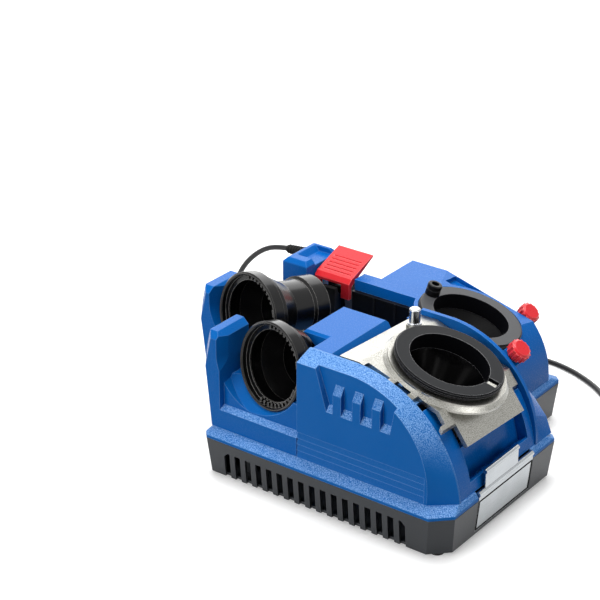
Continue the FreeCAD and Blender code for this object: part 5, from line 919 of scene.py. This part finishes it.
@dataclass
class MainsLead(SubAssembly):
    """Mains cord: route behind the machine, coil of spare cord, tie, gland and plug."""

    radius: float = 0.0032
    length: float = 1.75
    route: tuple[Triple, ...] = (
        (-242.0, 152.0, 154.5),
        (-262.0, 152.6, 151.5), (-284.0, 154.0, 140.5), (-304.0, 155.5, 123.0), (-321.0, 157.5, 101.0),
        (-332.0, 161.0, 76.0), (-336.0, 168.0, 50.0), (-333.0, 180.0, 27.0), (-324.0, 201.0, 10.0),
        (-308.0, 227.0, 1.8), (-282.0, 251.0, -0.8), (-246.0, 268.0, -0.8), (-203.0, 280.0, -0.8),
        (-156.0, 292.0, -0.8), (-109.0, 306.0, -0.8), (-64.0, 323.0, -0.8), (-22.0, 341.0, -0.8),
        (16.0, 349.5, -0.8), (52.0, 343.5, -0.8), (84.0, 330.0, -0.8), (113.0, 312.0, -0.8),
        (136.0, 283.0, -0.8),
    )
    coil_x: float = 202.0
    coil_y: float = 263.0
    coil_out: float = 43.0
    coil_pitch: float = 8.0
    coil_turns: float = 1.875
    coil_climb: float = 0.5
    coil_rise: float = 7.6
    coil_low: float = -0.8
    coil_start: float = 225.0
    coil_feed: float = 24.0
    coil_lead: float = 8.0
    coil_tail: float = 28.0
    points_per_turn: int = 16
    small_turn: float = 0.01
    gland: Triple = (-214.0, 152.0, 154.5)
    gland_radii: Pair = (6.5, 4.4)
    gland_run: Pair = (3.0, 28.0)
    gland_ribs: int = 6
    rib_first: float = 0.7
    rib_spare: float = 0.4
    rib_width: float = 1.7
    rib_rise: float = 0.9
    rib_sink: float = 0.5
    rib_bevel: Pair = (0.3, 0.4)
    plug_body: float = 50.0
    pin_size: Triple = (1.7, 6.5, 17.0)
    pin_spread: float = 12.7
    pin_round: float = 0.4
    tie_edge: float = 0.0003

    def paints(self) -> dict[str, Paint]:
        """Rubber gland, black tie and plug."""
        return {"cord_gland": Paint.RUBBER, "cord_tie": Paint.BLACK_SATIN, "mains_plug": Paint.BLACK_SATIN}

    def rounds(self) -> dict[str, float]:
        """Moulded edges of the tie."""
        return {"cord_tie": self.tie_edge}

    def details(self, shop: Workshop) -> None:
        """Lay the cord, rib the gland and sheathe the plug's pins."""
        self.lay(shop)
        self.rib(shop)
        self.sheathe(shop)

    def rib(self, shop: Workshop) -> None:
        """Put flexing ribs on the gland."""
        ribs = Draft(shop, "gland_ribs")
        frame = frame_at(self.gland, (-1.0, 0.0, 0.0))
        start, end = self.gland_run
        foot, tip = self.gland_radii
        inset, drop = self.rib_bevel
        for index in range(self.gland_ribs):
            share = (index + self.rib_first) / (self.gland_ribs + self.rib_spare)
            middle = start + (end - start) * share
            radius = foot + (tip - foot) * share
            low, high = middle - self.rib_width / 2.0, middle + self.rib_width / 2.0
            inner, outer = radius - self.rib_sink, radius + self.rib_rise
            ribs.turn(frame, [(inner, low), (outer - inset, low), (outer, low + drop),
                              (outer, high - drop), (outer - inset, high), (inner, high)])
        ribs.finish(Paint.RUBBER, "machine")

    def sheathe(self, shop: Workshop) -> None:
        """Clad the plug's pins in bright steel."""
        angle = math.radians(self.coil_start) + math.tau * self.coil_end
        radius = self.coil_out
        around = Vector((-math.sin(angle), math.cos(angle), 0.0)) * math.tau * radius
        outward = Vector((math.cos(angle), math.sin(angle), 0.0))
        along = (around + outward * self.coil_pitch).normalized()
        centre = Vector((self.coil_x, self.coil_y, self.coil_low + self.coil_rise)) + outward * radius
        start = centre + along * (self.coil_tail + self.plug_body)
        pins = Draft(shop, "plug_pins")
        for side in (-0.5, 0.5):
            frame = frame_at(tuple(start + along * self.pin_size[2] / 2.0), tuple(along))
            pins.box(frame @ Matrix.Translation((side * self.pin_spread, 0.0, 0.0)), self.pin_size)
        pins.soften(self.pin_round)
        pins.finish(Paint.BRIGHT_STEEL, "machine")

    @property
    def coil_end(self) -> float:
        """Number of turns in the whole coil."""
        return 2.0 * self.coil_turns + self.coil_climb

    def coil_point(self, turn: float) -> Vector:
        """Control point after a number of turns, in millimetres: in along the floor, up, out again."""
        inner = self.coil_out - self.coil_turns * self.coil_pitch
        if turn <= self.coil_turns:
            radius, height = self.coil_out - self.coil_pitch * turn, self.coil_low
        elif turn <= self.coil_turns + self.coil_climb:
            share = (turn - self.coil_turns) / self.coil_climb
            radius = inner
            height = self.coil_low + self.coil_rise * (1.0 - math.cos(math.pi * share)) / 2.0
        else:
            radius = inner + self.coil_pitch * (turn - self.coil_turns - self.coil_climb)
            height = self.coil_low + self.coil_rise
        angle = math.radians(self.coil_start) + math.tau * turn
        outset = 1.0 / math.cos(math.pi / self.points_per_turn)
        reach = radius * outset
        return Vector((self.coil_x + reach * math.cos(angle), self.coil_y + reach * math.sin(angle), height))

    def coil_points(self) -> list[Vector]:
        """Control points of the coil with its straight ends, in millimetres."""
        end, step = self.coil_end, self.small_turn
        count = math.ceil(end * self.points_per_turn)
        turns = [self.coil_point(end * index / count) for index in range(count + 1)]
        into = (self.coil_point(step) - turns[0]).normalized()
        out = (turns[-1] - self.coil_point(end - step)).normalized()
        start = turns[0] - into * self.coil_lead
        return [start - into * self.coil_feed, start] + turns + [turns[-1] + out * self.coil_tail]

    def lay(self, shop: Workshop) -> None:
        """Lay the cord as one spline on its route.

        Args:
            shop: The workshop with the frame and the materials.
        """
        curve = bpy.data.curves.new("mains_lead", "CURVE")
        curve.dimensions = "3D"
        curve.bevel_depth = self.radius
        curve.bevel_resolution = 5
        curve.resolution_u = 8
        curve.use_fill_caps = True
        points = [shop.at(*point) for point in (*self.route, *self.coil_points())]
        spline = curve.splines.new("NURBS")
        spline.points.add(len(points) - 1)
        for knot, point in zip(spline.points, points):
            knot.co = (*point, 1.0)
        spline.order_u = 3
        spline.use_endpoint_u = True
        curve.materials.append(shop.material(Paint.SHEATH))
        lead = stand("mains_lead", curve)
        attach(lead, "machine")
        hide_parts("mains_cord", "cord_coil")
        LOG.info("mains_lead: %d points", len(points))


@dataclass(frozen=True)
class Lamp:
    """A square soft lamp: where it hangs, the side of the square and its power in watts."""

    name: str
    place: Triple
    size: float
    watts: float

    def hang(self, aim: Triple) -> None:
        """Hang the lamp so that it looks at a point."""
        light = bpy.data.lights.new(self.name, "AREA")
        light.shape = "SQUARE"
        light.size = self.size
        light.energy = self.watts
        lamp = stand(self.name, light)
        lamp.visible_camera = False
        lamp.location = self.place
        lamp.rotation_euler = (Vector(aim) - Vector(self.place)).to_track_quat("-Z", "Y").to_euler()


@dataclass
class Studio:
    """Pale floor, soft lamps and the camera at the photograph's view."""

    eye: Triple = (1030.774, -1526.560, 1091.977)
    azimuth: float = 36.780
    pitch: float = 25.553
    lens: float = 114.0
    sensor: float = 36.0
    floor_half: float = 6.0
    floor_glow: float = 0.3
    floor_fade: Pair = (0.45, 1.3)
    floor_white: float = 0.8
    bounce: float = 0.3
    ambient: float = 0.06
    aim: Triple = (0.0, 0.0, 0.1)
    lamps: tuple[Lamp, ...] = (
        Lamp("lamp_top", (-0.1, 0.1, 1.8), size=1.2, watts=36.0),
        Lamp("lamp_back", (-1.3, 1.7, 1.3), size=2.6, watts=46.0),
        Lamp("lamp_right", (1.8, 0.0, 0.7), size=0.9, watts=9.0),
        Lamp("lamp_front", (-0.5, -2.0, 1.0), size=1.4, watts=31.0),
    )

    def build(self, shop: Workshop) -> None:
        """Make the floor, the world, the lamps and the camera.

        Args:
            shop: The workshop with the datum.
        """
        self._world()
        self._floor()
        for lamp in self.lamps:
            lamp.hang(self.aim)
        self._camera(shop)

    def _world(self) -> None:
        """White for the camera and mirrors, an even grey light for the rest."""
        world = bpy.data.worlds.new("studio")
        bpy.context.scene.world = world
        sketch = Sketch.bare(world)
        strength = sketch.add("ShaderNodeMix", {0: sketch.seen(), 2: self.ambient, 3: 1.0}, data_type="FLOAT")
        sky = sketch.add("ShaderNodeBackground", {"Color": (1.0, 1.0, 1.0, 1.0),
                                                  "Strength": strength.outputs[0]})
        sketch.add("ShaderNodeOutputWorld", {"Surface": sky.outputs[0]})

    def _floor(self) -> None:
        """Large pale floor that keeps a soft shadow."""
        bpy.ops.mesh.primitive_plane_add(size=2.0 * self.floor_half)
        floor = bpy.context.object
        floor.name = "floor"
        material = bpy.data.materials.new("pale_floor")
        sketch = Sketch.bare(material)
        plain, dull = (sketch.add("ShaderNodeBsdfDiffuse", {"Color": (tone, tone, tone, 1.0)})
                       for tone in (self.floor_white, self.bounce))
        place = sketch.add("ShaderNodeTexCoord").outputs["Object"]
        away = sketch.add("ShaderNodeVectorMath", {0: place}, operation="LENGTH").outputs["Value"]
        fading = sketch.maths("MAXIMUM", sketch.ramped(away, *self.floor_fade), self.floor_glow)
        glow = sketch.add("ShaderNodeEmission", {"Strength": fading})
        bright = sketch.add("ShaderNodeAddShader", {0: plain.outputs[0], 1: glow.outputs[0]})
        mix = sketch.add("ShaderNodeMixShader", {0: sketch.seen(), 1: dull.outputs[0], 2: bright.outputs[0]})
        sketch.add("ShaderNodeOutputMaterial", {"Surface": mix.outputs[0]})
        floor.data.materials.append(material)
        floor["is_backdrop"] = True

    def _camera(self, shop: Workshop) -> None:
        """Stand the camera where the photograph was taken."""
        data = bpy.data.cameras.new("camera")
        data.lens = self.lens
        data.sensor_width = self.sensor
        camera = stand("camera", data)
        turn, tip = math.radians(self.azimuth), math.radians(self.pitch)
        back = Vector((math.sin(turn) * math.cos(tip), -math.cos(turn) * math.cos(tip), math.sin(tip)))
        right = Vector((math.cos(turn), math.sin(turn), 0.0))
        up = back.cross(right)
        axes = Matrix((right, up, back)).transposed().to_4x4()
        camera.matrix_world = Matrix.Translation(shop.at(*self.eye)) @ axes
        bpy.context.scene.camera = camera


def main() -> None:
    """Dress the machine, lay its cord and set up the studio."""
    logging.basicConfig(level=logging.INFO, format="%(name)s %(message)s")
    bpy.context.scene.view_settings.view_transform = "Standard"
    shop = Workshop()
    Studio().build(shop)
    for part in (Base(), NearStation(), FarStation(), GrindingPorts(), DrillChucks(), Controls(),
                 DustDrawer(), Drive(), MainsLead()):
        LOG.info("%s", type(part).__name__)
        part.build(shop)


if __name__ == "__main__":
    for old in list(bpy.data.objects):
        bpy.data.objects.remove(old)
    main()
